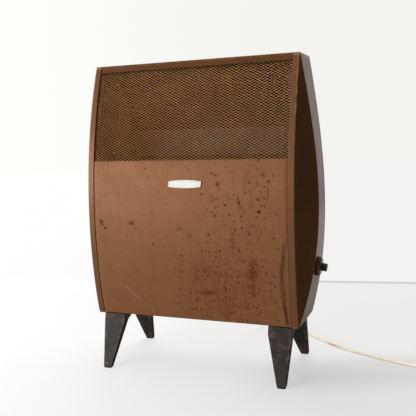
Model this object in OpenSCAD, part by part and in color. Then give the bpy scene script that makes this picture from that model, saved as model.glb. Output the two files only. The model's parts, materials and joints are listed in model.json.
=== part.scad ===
// Free-standing electric convector heater: a bowed sheet-steel cabinet on four splayed
// wooden legs. A ribbed ceramic heating assembly stands low inside, cool air enters through
// the slotted base plate, and warm air leaves through the expanded-metal grille.
// The front faces -Y, +X is the side with the heat switch, and the floor is Z = 0.

/* [Cabinet] */
// Width of the cabinet across its front edges
cabinet_w = 480; // [460:1:500]
// Height of the cabinet without its legs
cabinet_h = 573; // [560:1:590]
// Depth of the cabinet at its bottom edge
cabinet_d = 140; // [135:1:150]
// How far the front's top edge lies behind its bottom edge
front_lean = 43; // [36:1:48]
// How far the front bows forward between its top and bottom edges
front_bow = 42; // [34:1:46]
// How far each side swells outwards
side_swell = 31.2; // [26:0.2:34]
// Thickness of the sheet steel
sheet = 1.2; // [1:0.1:1.5]

/* [Front] */
// Width of the strip that each side panel folds onto the front
strip_w = 16; // [14:1:18]
// Height of the top panel's band above the grille
band_h = 15.5; // [14:0.5:18]
// Height of the grille's lower edge above the cabinet's bottom edge
grille_low = 358; // [340:1:370]
// Long way of a grille diamond
diamond_w = 38; // [36:1:48]
// Short way of a grille diamond
diamond_h = 21; // [20:1:28]
// Width of the badge plate
badge_w = 80; // [70:1:90]
// Height of the badge plate at its middle
badge_h = 19.5; // [16:0.5:24]

/* [Legs] */
// Height of the cabinet's bottom edge above the floor
leg_h = 123; // [118:1:130]
// Distance of a foot's centre from the middle of the cabinet
foot_x = 208; // [200:1:212]
// How far the front feet stand forward of the cabinet's bottom edge
foot_front = 24; // [18:1:30]
// How far the rear feet stand behind the cabinet's back
foot_rear = 54; // [46:1:60]

/* [Heat switch] */
// Height of the switch above the cabinet's bottom edge
switch_z = 118; // [110:1:130]
// Depth of the switch behind the front's bottom edge
switch_y = 84; // [80:1:92]
// Diameter of the round boss
boss_d = 42; // [38:1:46]
// Height of the boss
boss_h = 9.5; // [8:0.5:12]
// Diameter of the knob
knob_d = 19; // [17:1:22]
// Height of the knob
knob_h = 11.5; // [10:0.5:14]

/* [Cord] */
// Diameter of the mains cord
cord_d = 7; // [6:0.5:7]

/* [Hidden] */

$fn = 48;
SMOOTH = 720;        // sides of the large front arc
STATIONS = 24;       // heights at which the side panel's section is worked out
PLAY = 0.3;          // gap between sheets that don't touch
RUN = 0.08;          // radial clearance of a turning or loose fit

half_w = cabinet_w / 2;
z_low = leg_h;
z_high = leg_h + cabinet_h;
back_y = cabinet_d - sheet;            // outer face of the side panels' rear flanges
flange = 18;                           // width of the side panels' rear flanges
strip_x = half_w - strip_w;            // inner edge of the front strips
grille_z = z_low + grille_low;
band_z = z_high - band_h;

// Arc of the front, from the bottom edge (Y 0) to the top edge (Y front_lean)
chord = sqrt(cabinet_h * cabinet_h + front_lean * front_lean);
front_r = (chord * chord / 4 + front_bow * front_bow) / (2 * front_bow);
front_cy = front_lean / 2 + (front_r - front_bow) * cabinet_h / chord;
front_cz = (z_low + z_high) / 2 - (front_r - front_bow) * front_lean / chord;
function front_y(z, depth = 0) =
    front_cy - sqrt(pow(front_r - depth, 2) - pow(z - front_cz, 2));

// Side of the cabinet: s runs from 0 at the bottom to 1 at the top
SWELL_SKEW = 0.513;                    // the swell is widest a little below the middle
CREASE_BOW = 41;                       // how far the crease bows back
CREASE_SKEW = 1.2;
function rise(z) = (z - z_low) / cabinet_h;
function hump(s, skew) = 4 * s * (1 - s) * (1 - skew * (s - 0.5));
function side_x(z) = half_w + side_swell * hump(rise(z), SWELL_SKEW);
function crease_y(z) =
    3 + (front_lean + 6) * rise(z) + CREASE_BOW * hump(rise(z), CREASE_SKEW);

// Switch axis: square to the swollen side
switch_height = z_low + switch_z;
switch_x = side_x(switch_height);
switch_tilt = atan((side_x(switch_height + 1) - side_x(switch_height - 1)) / 2);
switch_face = boss_h;                  // outer face of the boss above the side panel
knob_top = switch_face + 0.6 + knob_h;

// The origin is the middle of the object's footprint, cord and plug left out
widest = max([for (k = [0 : 100]) side_x(z_low + cabinet_h * k / 100)]);
knob_grip_r = knob_d / 2 - 0.9;        // radius of the knob above its skirt
right_reach = switch_x + knob_top * cos(switch_tilt) + knob_grip_r * sin(switch_tilt);
glide_y = 12;
front_reach = -foot_front - glide_y / 2;
rear_reach = cabinet_d + foot_rear + glide_y / 2;
centre = [(right_reach - widest) / 2, (front_reach + rear_reach) / 2, 0];

module placed() {
    translate(-centre) children();
}

// Draws a (Y, Z) outline and extrudes it along X, centred
module across(width) {
    rotate([90, 0, 90]) linear_extrude(width, center = true) children();
}

// Local frame of the switch: +Z points out along the knob's axis, 0 is the side's surface
module at_switch() {
    translate([switch_x, switch_y, switch_height]) rotate([0, 90 + switch_tilt, 0]) children();
}

// Part of the bowed front between two heights and two depths below its surface, in (Y, Z)
module front_arc(z1, z2, d1, d2) {
    intersection() {
        difference() {
            translate([front_cy, front_cz]) circle(front_r - d1, $fn = SMOOTH);
            translate([front_cy, front_cz]) circle(front_r - d2, $fn = SMOOTH);
        }
        translate([-80, z1]) square([200, z2 - z1]);
    }
}

// Slot with round ends; length is between the centres of its ends
module slot(length, r) {
    square([length, 2 * r], center = true);
    for (side = [-1, 1]) translate([side * length / 2, 0]) circle(r);
}

// Closed tube through hand-chosen points: rings stand square to a smooth curve through them
function curve_point(p, i, t) =
    let (n = len(p), a = p[max(i - 1, 0)], b = p[i], c = p[min(i + 1, n - 1)], d = p[min(i + 2, n - 1)])
    0.5 * (2 * b + (c - a) * t + (2 * a - 5 * b + 4 * c - d) * t * t + (3 * b - a - 3 * c + d) * t * t * t);
function curve(p, steps) = [
    for (i = [0 : len(p) - 2], k = [0 : steps - 1]) curve_point(p, i, k / steps), p[len(p) - 1]
];
function unit(v) = v / norm(v);
function heading(p, i) = unit(p[min(i + 1, len(p) - 1)] - p[max(i - 1, 0)]);
function sideways(d) = unit(cross(d, abs(d[2]) > 0.9 ? [1, 0, 0] : [0, 0, 1]));
function ring(c, d, r, sides) =
    let (u = sideways(d), v = cross(u, d))
    [for (k = [0 : sides - 1]) c + r * (cos(360 * k / sides) * u + sin(360 * k / sides) * v)];

module tube(points, r, sides = 8, steps = 3) {
    p = curve(points, steps);
    n = len(p);
    polyhedron(
        points = [for (i = [0 : n - 1]) each ring(p[i], heading(p, i), r, sides)],
        faces = concat(
            [[for (k = [0 : sides - 1]) sides - 1 - k]],
            [for (i = [0 : n - 2], k = [0 : sides - 1])
                let (a = i * sides, b = a + sides, m = (k + 1) % sides)
                each [[a + k, a + m, b + m], [a + k, b + m, b + k]]],
            [[for (k = [0 : sides - 1]) (n - 1) * sides + k]]
        ),
        convexity = 10
    );
}

// ---------- cabinet ----------

// Section of a side panel at height z: outer skin, then the same line one sheet inside it
function side_section(z) =
    let (yf = front_y(z), x = side_x(z), yc = crease_y(z), end = x - flange)
    [
        [strip_x, yf], [half_w, yf], [x, yc], [x, back_y], [end, back_y],
        [end, back_y - sheet], [x - sheet, back_y - sheet], [x - sheet, yc + sheet / 3],
        [half_w - sheet, yf + sheet], [strip_x, yf + sheet]
    ];

side_top = z_high - sheet - 0.1;
flange_screw_z = [for (k = [0 : 3]) z_low + 35 + k * (cabinet_h - 70) / 3];

module side_shell() {
    heights = [for (k = [0 : STATIONS]) z_low + (side_top - z_low) * k / STATIONS];
    sections = [for (z = heights) side_section(z)];
    m = len(sections[0]);
    polyhedron(
        points = [for (k = [0 : STATIONS]) for (p = sections[k]) [p[0], p[1], heights[k]]],
        faces = concat(
            [[for (j = [0 : m - 1]) j]],
            [for (k = [0 : STATIONS - 1], j = [0 : m - 1])
                let (a = k * m, b = a + m, i = (j + 1) % m)
                each [[a + j, b + j, b + i], [a + j, b + i, a + i]]],
            [[for (j = [0 : m - 1]) STATIONS * m + m - 1 - j]]
        ),
        convexity = 10
    );
}

module flange_holes() {
    for (z = flange_screw_z)
        translate([side_x(z) - flange / 2, back_y - 4, z]) rotate([-90, 0, 0]) cylinder(r = 2, h = 8);
}

module side_panel_left() {
    color([0.42, 0.27, 0.18]) placed() mirror([1, 0, 0]) difference() {
        side_shell();
        flange_holes();
    }
}

module side_panel_right() {
    color([0.42, 0.27, 0.18]) placed() difference() {
        side_shell();
        flange_holes();
        at_switch() translate([0, 0, -8]) cylinder(r = 5.2, h = 16);
    }
}

// Top plate with the band above the grille, its inner lip and a flange down the back
module top_panel() {
    color([0.44, 0.29, 0.19]) placed() {
        across(2 * half_w) translate([front_y(z_high), z_high - sheet])
            square([back_y - front_y(z_high), sheet]);
        across(2 * strip_x - 2 * PLAY) front_arc(band_z, z_high - sheet, 0, sheet);
        across(2 * strip_x - 2 * PLAY) front_arc(band_z, band_z + sheet, sheet, 3);
        across(2 * (half_w - flange - 6)) translate([back_y - sheet - PLAY, z_high - 14])
            square([sheet, 14 - sheet]);
    }
}

// Lower front sheet, with hems folded back at its top and bottom edges
module front_panel() {
    width = 2 * strip_x - 2 * PLAY;
    top = grille_z - PLAY;
    color([0.47, 0.31, 0.21]) placed() difference() {
        union() {
            across(width) front_arc(z_low + 1, top, 0, sheet);
            across(width) front_arc(top - sheet, top, sheet, 3);
            across(width) front_arc(z_low + 1, z_low + 1 + sheet, sheet, 4);
        }
        badge_holes(1.6);
    }
}

base_z = z_low + 3;                    // underside of the base plate
intake_pitch = 15;
intake_x = [for (k = [-9 : 9]) k * intake_pitch];
intake_y = [46, 94];

// Slotted floor of the cabinet: cool air enters here
module base_plate() {
    z = base_z;
    lean = atan((side_x(z + 7) - side_x(z)) / 7);
    color([0.36, 0.24, 0.17]) placed() {
        difference() {
            translate([-half_w + 4, 13, z]) cube([2 * half_w - 8, back_y - sheet - 14, sheet]);
            for (x = intake_x, y = intake_y)
                translate([x, y, z - 1]) linear_extrude(4) rotate(90) slot(30, 3);
            for (p = leg_screw_points()) translate([p[0], p[1], z - 1]) cylinder(r = 2.6, h = 4);
        }
        for (side = [-1, 1])
            translate([side * (half_w - 4), 13, z]) rotate([0, side * lean, 0])
                translate([side > 0 ? -sheet : 0, 0, 0]) cube([sheet, back_y - sheet - 14, 14]);
        translate([-half_w + 26, 13, z]) cube([2 * half_w - 52, sheet, 12]);
    }
}

vent_z = concat([for (k = [0 : 5]) z_low + 60 + k * 12], [for (k = [0 : 5]) z_high - 130 + k * 12]);
relief_x = 40;
relief_z = 170;

// Flat back with two groups of vent slots
module back_panel() {
    heights = [for (k = [0 : STATIONS]) z_low + 1 + (cabinet_h - 2) * k / STATIONS];
    edge = [for (z = heights) [side_x(z) - 0.8, z]];
    color([0.40, 0.27, 0.19]) placed() difference() {
        translate([0, cabinet_d, 0]) rotate([90, 0, 0]) linear_extrude(sheet)
            polygon(concat(edge, [for (k = [STATIONS : -1 : 0]) [-edge[k][0], edge[k][1]]]));
        for (z = vent_z, k = [-2 : 2])
            translate([k * 76, cabinet_d + 1, z]) rotate([90, 0, 0]) linear_extrude(4) slot(52, 2.5);
        for (side = [-1, 1], z = flange_screw_z)
            translate([side * (side_x(z) - flange / 2), back_y - 1, z]) rotate([-90, 0, 0])
                cylinder(r = 2, h = 4);
        translate([relief_x, back_y - 1, relief_z]) rotate([-90, 0, 0]) cylinder(r = 6 + RUN, h = 4);
    }
}

module back_screws() {
    color([0.55, 0.5, 0.42]) placed()
        for (side = [-1, 1], z = flange_screw_z)
            translate([side * (side_x(z) - flange / 2), cabinet_d, z]) rotate([90, 0, 0]) {
                translate([0, 0, -2.2]) difference() {
                    cylinder(r = 3.8, h = 2.2);
                    translate([-4, -0.5, -0.1]) cube([8, 1, 1.2]);
                }
                cylinder(r = 1.8, h = 8);
            }
}

// ---------- grille and badge ----------

mesh_low = grille_z - 7;
mesh_high = band_z + 7;
mesh_depth = 3.2;

// Expanded metal: a bowed sheet pierced by staggered diamonds
module grille_mesh() {
    columns = ceil(strip_x / diamond_w);
    rows = ceil((mesh_high - mesh_low) / diamond_h);
    color([0.62, 0.46, 0.28]) placed() difference() {
        across(2 * strip_x + 16) front_arc(mesh_low, mesh_high, mesh_depth, mesh_depth + 1.6);
        rotate([90, 0, 0]) linear_extrude(120, center = true)
            intersection() {
                translate([-strip_x + 1, grille_z + 1]) square([2 * strip_x - 2, band_z - grille_z - 2]);
                for (i = [-columns : columns], j = [0 : rows], half = [0, 0.5])
                    translate([(i + half) * diamond_w, grille_z + (j + half) * diamond_h])
                        polygon([[-diamond_w / 2 + 3, 0], [0, -diamond_h / 2 + 1.7], [diamond_w / 2 - 3, 0],
                                 [0, diamond_h / 2 - 1.7]]);
            }
    }
}

// Flat steel strips that clamp the edges of the mesh from inside
clamp_depth = mesh_depth + 1.7;        // outer face of the strips behind the front's surface
clamp_t = 2;

module grille_rail(low, high) {
    color([0.3, 0.22, 0.16]) placed() across(2 * strip_x)
        front_arc(low, high, clamp_depth, clamp_depth + clamp_t);
}

module grille_stile(side) {
    color([0.3, 0.22, 0.16]) placed() translate([side * (strip_x - 4), 0, 0]) across(8)
        front_arc(grille_z + 4, band_z - 4, clamp_depth, clamp_depth + clamp_t);
}

module grille_rail_upper() { grille_rail(band_z - 4, mesh_high - 1); }
module grille_rail_lower() { grille_rail(mesh_low + 1, grille_z + 4); }
module grille_stile_left() { grille_stile(-1); }
module grille_stile_right() { grille_stile(1); }

badge_z = z_low + 306;
badge_stud_x = 26;

module badge_holes(r) {
    for (side = [-1, 1])
        translate([side * badge_stud_x, front_y(badge_z) - 6, badge_z]) rotate([-90, 0, 0])
            cylinder(r = r, h = 16);
}

// Blank plate, bulged above and below, with two studs behind it
module badge_plate() {
    swell = 3;
    half_b = badge_w / 2;
    arc_r = (half_b * half_b + swell * swell) / (2 * swell);
    end_h = badge_h / 2 - swell;
    color([0.93, 0.88, 0.78]) placed() {
        intersection() {
            across(badge_w) front_arc(badge_z - badge_h, badge_z + badge_h, -2.4, -0.15);
            rotate([90, 0, 0]) translate([0, badge_z]) linear_extrude(120, center = true)
                intersection() {
                    square([badge_w, badge_h], center = true);
                    translate([0, end_h + swell - arc_r]) circle(arc_r, $fn = 360);
                    translate([0, arc_r - end_h - swell]) circle(arc_r, $fn = 360);
                }
        }
        for (side = [-1, 1])
            translate([side * badge_stud_x, front_y(badge_z) - 1, badge_z]) rotate([-90, 0, 0])
                cylinder(r = 1.4, h = 8);
    }
}

module badge_clips() {
    color([0.6, 0.6, 0.6]) placed()
        for (side = [-1, 1])
            translate([side * badge_stud_x, front_y(badge_z) + sheet + 0.8, badge_z])
                rotate([-90, 0, 0]) difference() {
                    cylinder(r = 5, h = 1);
                    translate([0, 0, -1]) cylinder(r = 1.45, h = 3);
                }
}

// ---------- legs ----------

leg_outer = 226;
leg_inner = 173;
leg_block = 17;                        // height of the square block at a leg's top
leg_heel = 58;                         // how far the block reaches under the cabinet
leg_thick = 20;
glide_h = 3;
foot_w = 20;
leg_screw_x = [leg_inner + 11, leg_inner + 37];

// A slab of a leg: one level section, drawn thin so that hull() joins it to the next
module leg_slice(x1, x2, y1, y2, z) {
    translate([x1, y1, z]) cube([x2 - x1, y2 - y1, 0.01]);
}

// Right-hand leg seen from outside: Y runs from its outer face (0) towards the cabinet's middle
module leg(kick) {
    top = leg_h - 0.2;
    knee = leg_h - leg_block;
    start = 2;
    slope = (kick + start) / leg_h;
    at_knee = start - slope * leg_block;
    difference() {
        union() {
            hull() {
                leg_slice(leg_inner, leg_outer, start, leg_heel, top);
                leg_slice(leg_inner, leg_outer - 0.5, at_knee, at_knee + leg_thick, knee);
            }
            hull() {
                leg_slice(leg_inner, leg_outer - 0.5, at_knee, at_knee + leg_thick, knee);
                leg_slice(foot_x - foot_w / 2, foot_x + foot_w / 2, -kick - glide_y / 2, -kick + glide_y / 2,
                          glide_h);
            }
            translate([leg_inner + 2, 16, top - 1]) cube([44, leg_heel - 18, base_z - top + 1]);
        }
        for (x = leg_screw_x)
            translate([x, 28, leg_h - 13]) cylinder(r = 2.1, h = 20);
    }
}

// Front legs keep the outline; rear legs are turned to face backwards
module leg_at(side, rear) {
    color([0.14, 0.12, 0.11]) placed()
        mirror([side < 0 ? 1 : 0, 0, 0])
            translate([0, rear ? cabinet_d : 0, 0]) mirror([0, rear ? 1 : 0, 0])
                leg(rear ? foot_rear : foot_front);
}

module leg_front_left() { leg_at(-1, false); }
module leg_front_right() { leg_at(1, false); }
module leg_rear_left() { leg_at(-1, true); }
module leg_rear_right() { leg_at(1, true); }

function leg_screw_points() = [
    for (side = [-1, 1], y = [28, cabinet_d - 28], x = leg_screw_x) [side * x, y]
];

// Steel plates inside the cabinet that spread each leg's load
module leg_plates() {
    z = base_z + sheet;
    color([0.5, 0.5, 0.5]) placed() difference() {
        for (side = [-1, 1], y = [18, cabinet_d - 38])
            translate([side * (leg_inner + 24) - 22, y, z]) cube([44, 20, 2]);
        for (p = leg_screw_points()) translate([p[0], p[1], z - 1]) cylinder(r = 2.6, h = 4);
    }
}

module leg_screws() {
    z = base_z + sheet + 2;
    color([0.6, 0.58, 0.52]) placed()
        for (p = leg_screw_points()) translate([p[0], p[1], z]) {
            cylinder(r = 4.2, h = 2.4);
            translate([0, 0, -18]) cylinder(r = 2, h = 18);
        }
}

module foot_glides() {
    color([0.05, 0.05, 0.05]) placed()
        for (side = [-1, 1], y = [-foot_front, cabinet_d + foot_rear])
            translate([side * foot_x, y, 0]) linear_extrude(glide_h)
                square([foot_w - 3, glide_y], center = true);
}

// ---------- heat switch ----------

shaft_r = 3;
neck_r = 5;
nut_h = 2.4;
nut_seat = boss_h - 3.2;               // floor of the boss's recess, on which the nut sits
housing_r = 19;
housing_back = -30;                    // rear face of the housing along the switch axis
housing_front = -sheet - 0.8;

// Brown boss that the nut clamps against the side panel
module switch_boss() {
    round_r = 5;
    color([0.30, 0.17, 0.09]) placed() at_switch() rotate_extrude($fn = 96) polygon([
        [neck_r + RUN, 0.15], [boss_d / 2, 0.15],
        for (a = [0 : 15 : 90])
            [boss_d / 2 - round_r + round_r * cos(a), boss_h - round_r + round_r * sin(a)],
        [8.6, boss_h], [8.6, nut_seat], [neck_r + RUN, nut_seat]
    ]);
}

// Moulded housing with a hollow neck through the side panel and three spade terminals
module switch_body() {
    wall = 2.5;
    color([0.12, 0.08, 0.06]) placed() at_switch() {
        difference() {
            union() {
                translate([0, 0, housing_back]) cylinder(r = housing_r, h = housing_front - housing_back);
                translate([0, 0, housing_front - 1]) cylinder(r = neck_r, h = nut_seat + nut_h + 1.2 - housing_front);
            }
            translate([0, 0, housing_back + wall])
                cylinder(r = housing_r - wall, h = housing_front - housing_back - 2 * wall);
            translate([0, 0, housing_front - wall - 1]) cylinder(r = shaft_r + RUN, h = 30);
        }
        for (a = [0, 120, 240])
            rotate([0, 0, a]) translate([10.5, -2.5, housing_back - 8]) cube([1, 5, 8]);
    }
}

// Cam drum that the shaft turns inside the housing
module switch_rotor() {
    low = housing_back + 4.5;
    high = housing_front - 5;
    color([0.75, 0.72, 0.66]) placed() at_switch() difference() {
        union() {
            translate([0, 0, low]) cylinder(r = 11, h = high - low);
            translate([0, 0, low + 4]) intersection() {
                cylinder(r = 15.5, h = 9);
                translate([4, -6, 0]) cube([14, 12, 9]);
            }
        }
        translate([0, 0, low - 1]) cylinder(r = shaft_r, h = high - low + 2);
    }
}

module switch_shaft() {
    low = housing_back + 4.5;
    color([0.65, 0.65, 0.65]) placed() at_switch()
        translate([0, 0, low]) cylinder(r = shaft_r, h = switch_face + 9 - low);
}

module switch_nut() {
    color([0.7, 0.65, 0.5]) placed() at_switch() translate([0, 0, nut_seat]) difference() {
        cylinder(r = 8, h = nut_h, $fn = 6);
        translate([0, 0, -1]) cylinder(r = neck_r + 0.02, h = nut_h + 2);
    }
}

// Fluted black knob on a plain skirt, with a pointer groove across its face
module control_knob() {
    flutes = 18;
    flute_r = 0.8;
    skirt_h = 2.2;
    z0 = switch_face + 0.6;
    color([0.03, 0.03, 0.03]) placed() at_switch() difference() {
        union() {
            translate([0, 0, z0]) cylinder(r = knob_d / 2, h = skirt_h);
            translate([0, 0, z0 + skirt_h]) linear_extrude(knob_h - skirt_h) difference() {
                circle(knob_grip_r);
                for (k = [0 : flutes - 1])
                    rotate([0, 0, k * 360 / flutes]) translate([knob_grip_r + 0.2, 0]) circle(flute_r);
            }
        }
        translate([0, 0, z0 - 1]) cylinder(r = shaft_r, h = 9.4);
        translate([-0.7, 0, z0 + knob_h - 0.7]) cube([1.4, knob_d / 2, 2]);
    }
}

// ---------- heating assembly ----------

element_y = 76;
element_z = [215, 272];
bracket_x = 178;
bracket_t = 1.5;
rod_r = 2.5;
ring_len = 14;
former_r = 12;
wire_r = 0.9;

module bracket(side) {
    z = base_z + sheet;
    color([0.62, 0.62, 0.6]) placed() difference() {
        union() {
            translate([side * bracket_x - bracket_t / 2, element_y - 26, z]) cube([bracket_t, 52, 172]);
            translate([side * bracket_x - (side > 0 ? 22 : 0), element_y - 26, z]) cube([22, 52, bracket_t]);
        }
        for (e = element_z)
            translate([side * bracket_x - 4, element_y, e]) rotate([0, 90, 0]) cylinder(r = rod_r + RUN, h = 8);
    }
}

module element_bracket_left() { bracket(-1); }
module element_bracket_right() { bracket(1); }

module element_rods() {
    color([0.7, 0.7, 0.7]) placed()
        for (e = element_z)
            translate([-bracket_x - 9, element_y, e]) rotate([0, 90, 0]) cylinder(r = rod_r, h = 2 * bracket_x + 18);
}

module element_nuts() {
    color([0.7, 0.65, 0.5]) placed()
        for (e = element_z, side = [-1, 1])
            translate([side * (bracket_x + bracket_t / 2 + 2) - 2, element_y, e]) rotate([0, 90, 0]) difference() {
                cylinder(r = 4.6, h = 4, $fn = 6);
                translate([0, 0, -1]) cylinder(r = rod_r + RUN, h = 6);
            }
}

ring_x = bracket_x - bracket_t / 2 - ring_len;

// Ceramic end rings between the brackets and the formers
module ceramic_end_rings() {
    color([0.88, 0.85, 0.78]) placed()
        for (e = element_z, side = [-1, 1])
            translate([side > 0 ? ring_x : -ring_x - ring_len, element_y, e]) rotate([0, 90, 0]) difference() {
                union() {
                    cylinder(r = 10, h = ring_len);
                    translate([0, 0, ring_len / 2 - 3]) cylinder(r = 15, h = 6);
                }
                translate([0, 0, -1]) cylinder(r = rod_r + RUN, h = ring_len + 2);
            }
}

// Ribbed ceramic core: six ribs hold the coil clear of the core
module ceramic_former(e) {
    color([0.9, 0.87, 0.8]) placed() translate([-ring_x, element_y, e]) rotate([0, 90, 0])
        linear_extrude(2 * ring_x) difference() {
            union() {
                circle(8);
                for (a = [0 : 60 : 300]) rotate(a) translate([6, -1.6]) square([former_r - 6, 3.2]);
            }
            circle(rod_r + RUN);
        }
}

module ceramic_former_lower() { ceramic_former(element_z[0]); }
module ceramic_former_upper() { ceramic_former(element_z[1]); }

// Resistance wire wound round the ribs
module heating_coil(e) {
    turns = 16;
    per_turn = 12;
    length = 2 * ring_x - 24;
    r = former_r + wire_r + 0.7;
    n = turns * per_turn;
    sides = 4;
    path = [for (i = [0 : n]) [
        -length / 2 + length * i / n,
        element_y + r * cos(360 * i / per_turn),
        e + r * sin(360 * i / per_turn)
    ]];
    color([0.45, 0.40, 0.36]) placed() polyhedron(
        points = [for (i = [0 : n], k = [0 : sides - 1])
            let (a = 360 * i / per_turn, out = [0, cos(a), sin(a)])
            path[i] + wire_r * (cos(360 * k / sides) * out + sin(360 * k / sides) * [1, 0, 0])],
        faces = concat(
            [[for (k = [0 : sides - 1]) k]],
            [for (i = [0 : n - 1], k = [0 : sides - 1])
                let (a = i * sides, b = a + sides, m = (k + 1) % sides)
                each [[a + k, b + k, b + m], [a + k, b + m, a + m]]],
            [[for (k = [0 : sides - 1]) n * sides + sides - 1 - k]]
        ),
        convexity = 10
    );
}

module heating_coil_lower() { heating_coil(element_z[0]); }
module heating_coil_upper() { heating_coil(element_z[1]); }

// ---------- sheets that steer the air ----------

// Shield between the elements and the back panel
module heat_shield() {
    z = z_low + 62;
    h = 300;
    color([0.7, 0.7, 0.68]) placed() {
        translate([-170, 116, z]) cube([340, 1, h]);
        for (e = [z, z + h - 1]) translate([-170, 116, e]) cube([340, back_y - 116, 1]);
    }
}

// Baffle that keeps the warm air off the front panel, standing between the leg plates
module front_baffle() {
    z = base_z + sheet;
    step = 8;
    color([0.6, 0.6, 0.58]) placed() {
        translate([-140, 22, z]) cube([280, 1, step + 1]);
        translate([-140, 22, z]) cube([280, 12, 1]);
        translate([-205, 22, z + step]) cube([410, 1, 317]);
        for (x = [-205, 204]) translate([x, 22, z + step]) cube([1, 14, 317]);
    }
}

// Curved guide that turns the rising air forwards to the grille
module air_deflector() {
    top = z_high - sheet;
    color([0.55, 0.55, 0.53]) placed() across(420)
        polygon([
            [back_y - 1, z_high - 150], [back_y, z_high - 150], [back_y, z_high - 96], [66, top],
            [54, top], [54, top - 1], [65.5, top - 1], [back_y - 1, z_high - 96.5]
        ]);
}

// ---------- wiring ----------

block_at = [40, 92, base_z + sheet];

module thermal_cutout() {
    color([0.8, 0.78, 0.72]) placed() translate([60, 116, 400]) rotate([90, 0, 0]) {
        cylinder(r = 9, h = 7);
        translate([0, 0, 7]) cylinder(r = 6.5, h = 2);
        translate([-14, -3, 3]) cube([28, 6, 1]);
    }
}

// Ceramic block with three clamp channels
module terminal_block() {
    color([0.92, 0.9, 0.84]) placed() translate(block_at) difference() {
        translate([-27, -9, 0]) cube([54, 18, 16]);
        for (k = [-1 : 1]) translate([k * 17, 10, 7]) rotate([90, 0, 0]) cylinder(r = 2.2, h = 20);
        for (k = [-1 : 1]) translate([k * 17, 0, 9]) cylinder(r = 2.1, h = 10);
    }
}

module terminal_screws() {
    color([0.75, 0.62, 0.3]) placed() for (k = [-1 : 1])
        translate(block_at + [k * 17, 0, 9.2]) difference() {
            cylinder(r = 2, h = 6.4);
            translate([-3, -0.4, 5.6]) cube([6, 0.8, 2]);
        }
}

wire_diam = 3;
supply_route = [[40, 131, 170], [40, 121, 167], [40, 112, 158], [40, 106, 147], [40, 102, 134.4]];
switch_route = [
    [57, 82.5, 134.4], [64, 74, 136], [95, 62, 142], [140, 50, 150], [185, 46, 166], [206, 54, 192],
    [212, 68, 216], [217, 80, 230], [222.6, 84, 235]
];
lower_route = [
    [40, 82.5, 134.4], [45, 77, 137.5], [80, 76, 147], [122, 75, 158], [150, 78, 178], [157, 86, 200],
    [153.2, 89.6, 213]
];
upper_route = [
    [23, 82.5, 134.4], [16, 72, 138], [-40, 54, 144], [-100, 46, 158], [-140, 44, 190], [-154, 50, 224],
    [-158, 66, 244], [-158, 84, 249], [-155, 90, 262], [-152.6, 89.6, 270.5]
];
link_route = [[-152.8, 89.6, 216], [-158, 96, 224], [-158, 104, 262], [-120, 106, 320], [-40, 106, 370], [50, 104, 404]];
cutout_route = [[152.8, 89.6, 273], [157, 96, 284], [140, 104, 330], [100, 106, 375], [70, 104, 396]];

module wire(route) {
    color([0.75, 0.7, 0.6]) placed() tube(route, wire_diam / 2, 6, 3);
}

module wire_supply() { wire(supply_route); }
module wire_switch() { wire(switch_route); }
module wire_lower_element() { wire(lower_route); }
module wire_upper_element() { wire(upper_route); }
module wire_element_link() { wire(link_route); }
module wire_cutout() { wire(cutout_route); }

// ---------- cord ----------

relief_len = 40;
cord_r = cord_d / 2;

// Tapered rubber sleeve, clamped in the back panel
module strain_relief() {
    color([0.88, 0.82, 0.7]) placed() translate([relief_x, cabinet_d, relief_z]) rotate([-90, 0, 0])
        difference() {
            union() {
                cylinder(r = 9.5, h = 3);
                translate([0, 0, 3]) cylinder(r1 = 7.5, r2 = cord_r + 1, h = relief_len - 3, $fn = 64);
                translate([0, 0, -8]) cylinder(r = 6, h = 9);
            }
            translate([0, 0, -9]) cylinder(r = cord_r, h = relief_len + 10);
        }
}

module strain_relief_nut() {
    color([0.85, 0.8, 0.7]) placed() translate([relief_x, back_y - 0.1, relief_z]) rotate([90, 0, 0])
        difference() {
            cylinder(r = 10, h = 4, $fn = 6);
            translate([0, 0, -1]) cylinder(r = 6 + 0.02, h = 6);
        }
}

// Route of the free cord, from the sleeve's tip down to the floor and out to the coil
cord_route = [
    [40, 180, 170], [40, 205, 162], [40, 240, 132], [41, 280, 85], [43, 318, 42], [46, 350, 15],
    [50, 376, 5], [57, 400, 3.75], [69, 421, 3.55], [90, 432, 3.5], [113, 427, 3.5], [131, 409, 3.5],
    [158, 370, 3.5], [187, 333, 3.5],
    [229, 293, 3.5], [273, 258, 3.5], [312, 234, 3.5], [352, 215, 3.5], [386, 200, 3.5],
    [425, 186, 3.5], [462, 175, 3.5], [497, 169, 3.5], [530, 167.5, 3.5]
];
coil_at = [530, 122];
coil_mid_r = 38.5;
coil_high = 2 * cord_d;
coil_rows = 3;                         // turns beside each other
tail_route = [[575.5, 122, 10.5], [575.5, 112, 10.5], [575, 95, 10.3], [573.5, 82, 10], [573, 70, 10]];

module mains_cord() {
    color([0.95, 0.9, 0.8]) placed() tube(cord_route, cord_r, 8, 3);
}

// Outer shape of the wound turns
module mains_cord_coil() {
    color([0.95, 0.9, 0.8]) placed() translate([coil_at[0], coil_at[1], 0]) rotate_extrude($fn = 64)
        translate([coil_mid_r - coil_rows * cord_r, 0]) square([coil_rows * cord_d, coil_high]);
}

module mains_cord_tail() {
    color([0.95, 0.9, 0.8]) placed() tube(tail_route, cord_r, 8, 2);
}

// Strap that holds the coil's turns together, folded over them
module cord_tie() {
    width = coil_rows * cord_d + 1;
    color([0.2, 0.2, 0.2]) placed() translate([coil_at[0] - 4, coil_at[1] - coil_mid_r - width / 2, 0]) {
        for (y = [-1, width]) translate([0, y, 0]) cube([8, 1, coil_high + 1]);
        translate([0, -1, coil_high]) cube([8, width + 2, 1]);
    }
}

plug_at = [573, 70, 10];
plug_len = 38;
plug_w = 34;
plug_t = 20;

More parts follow.
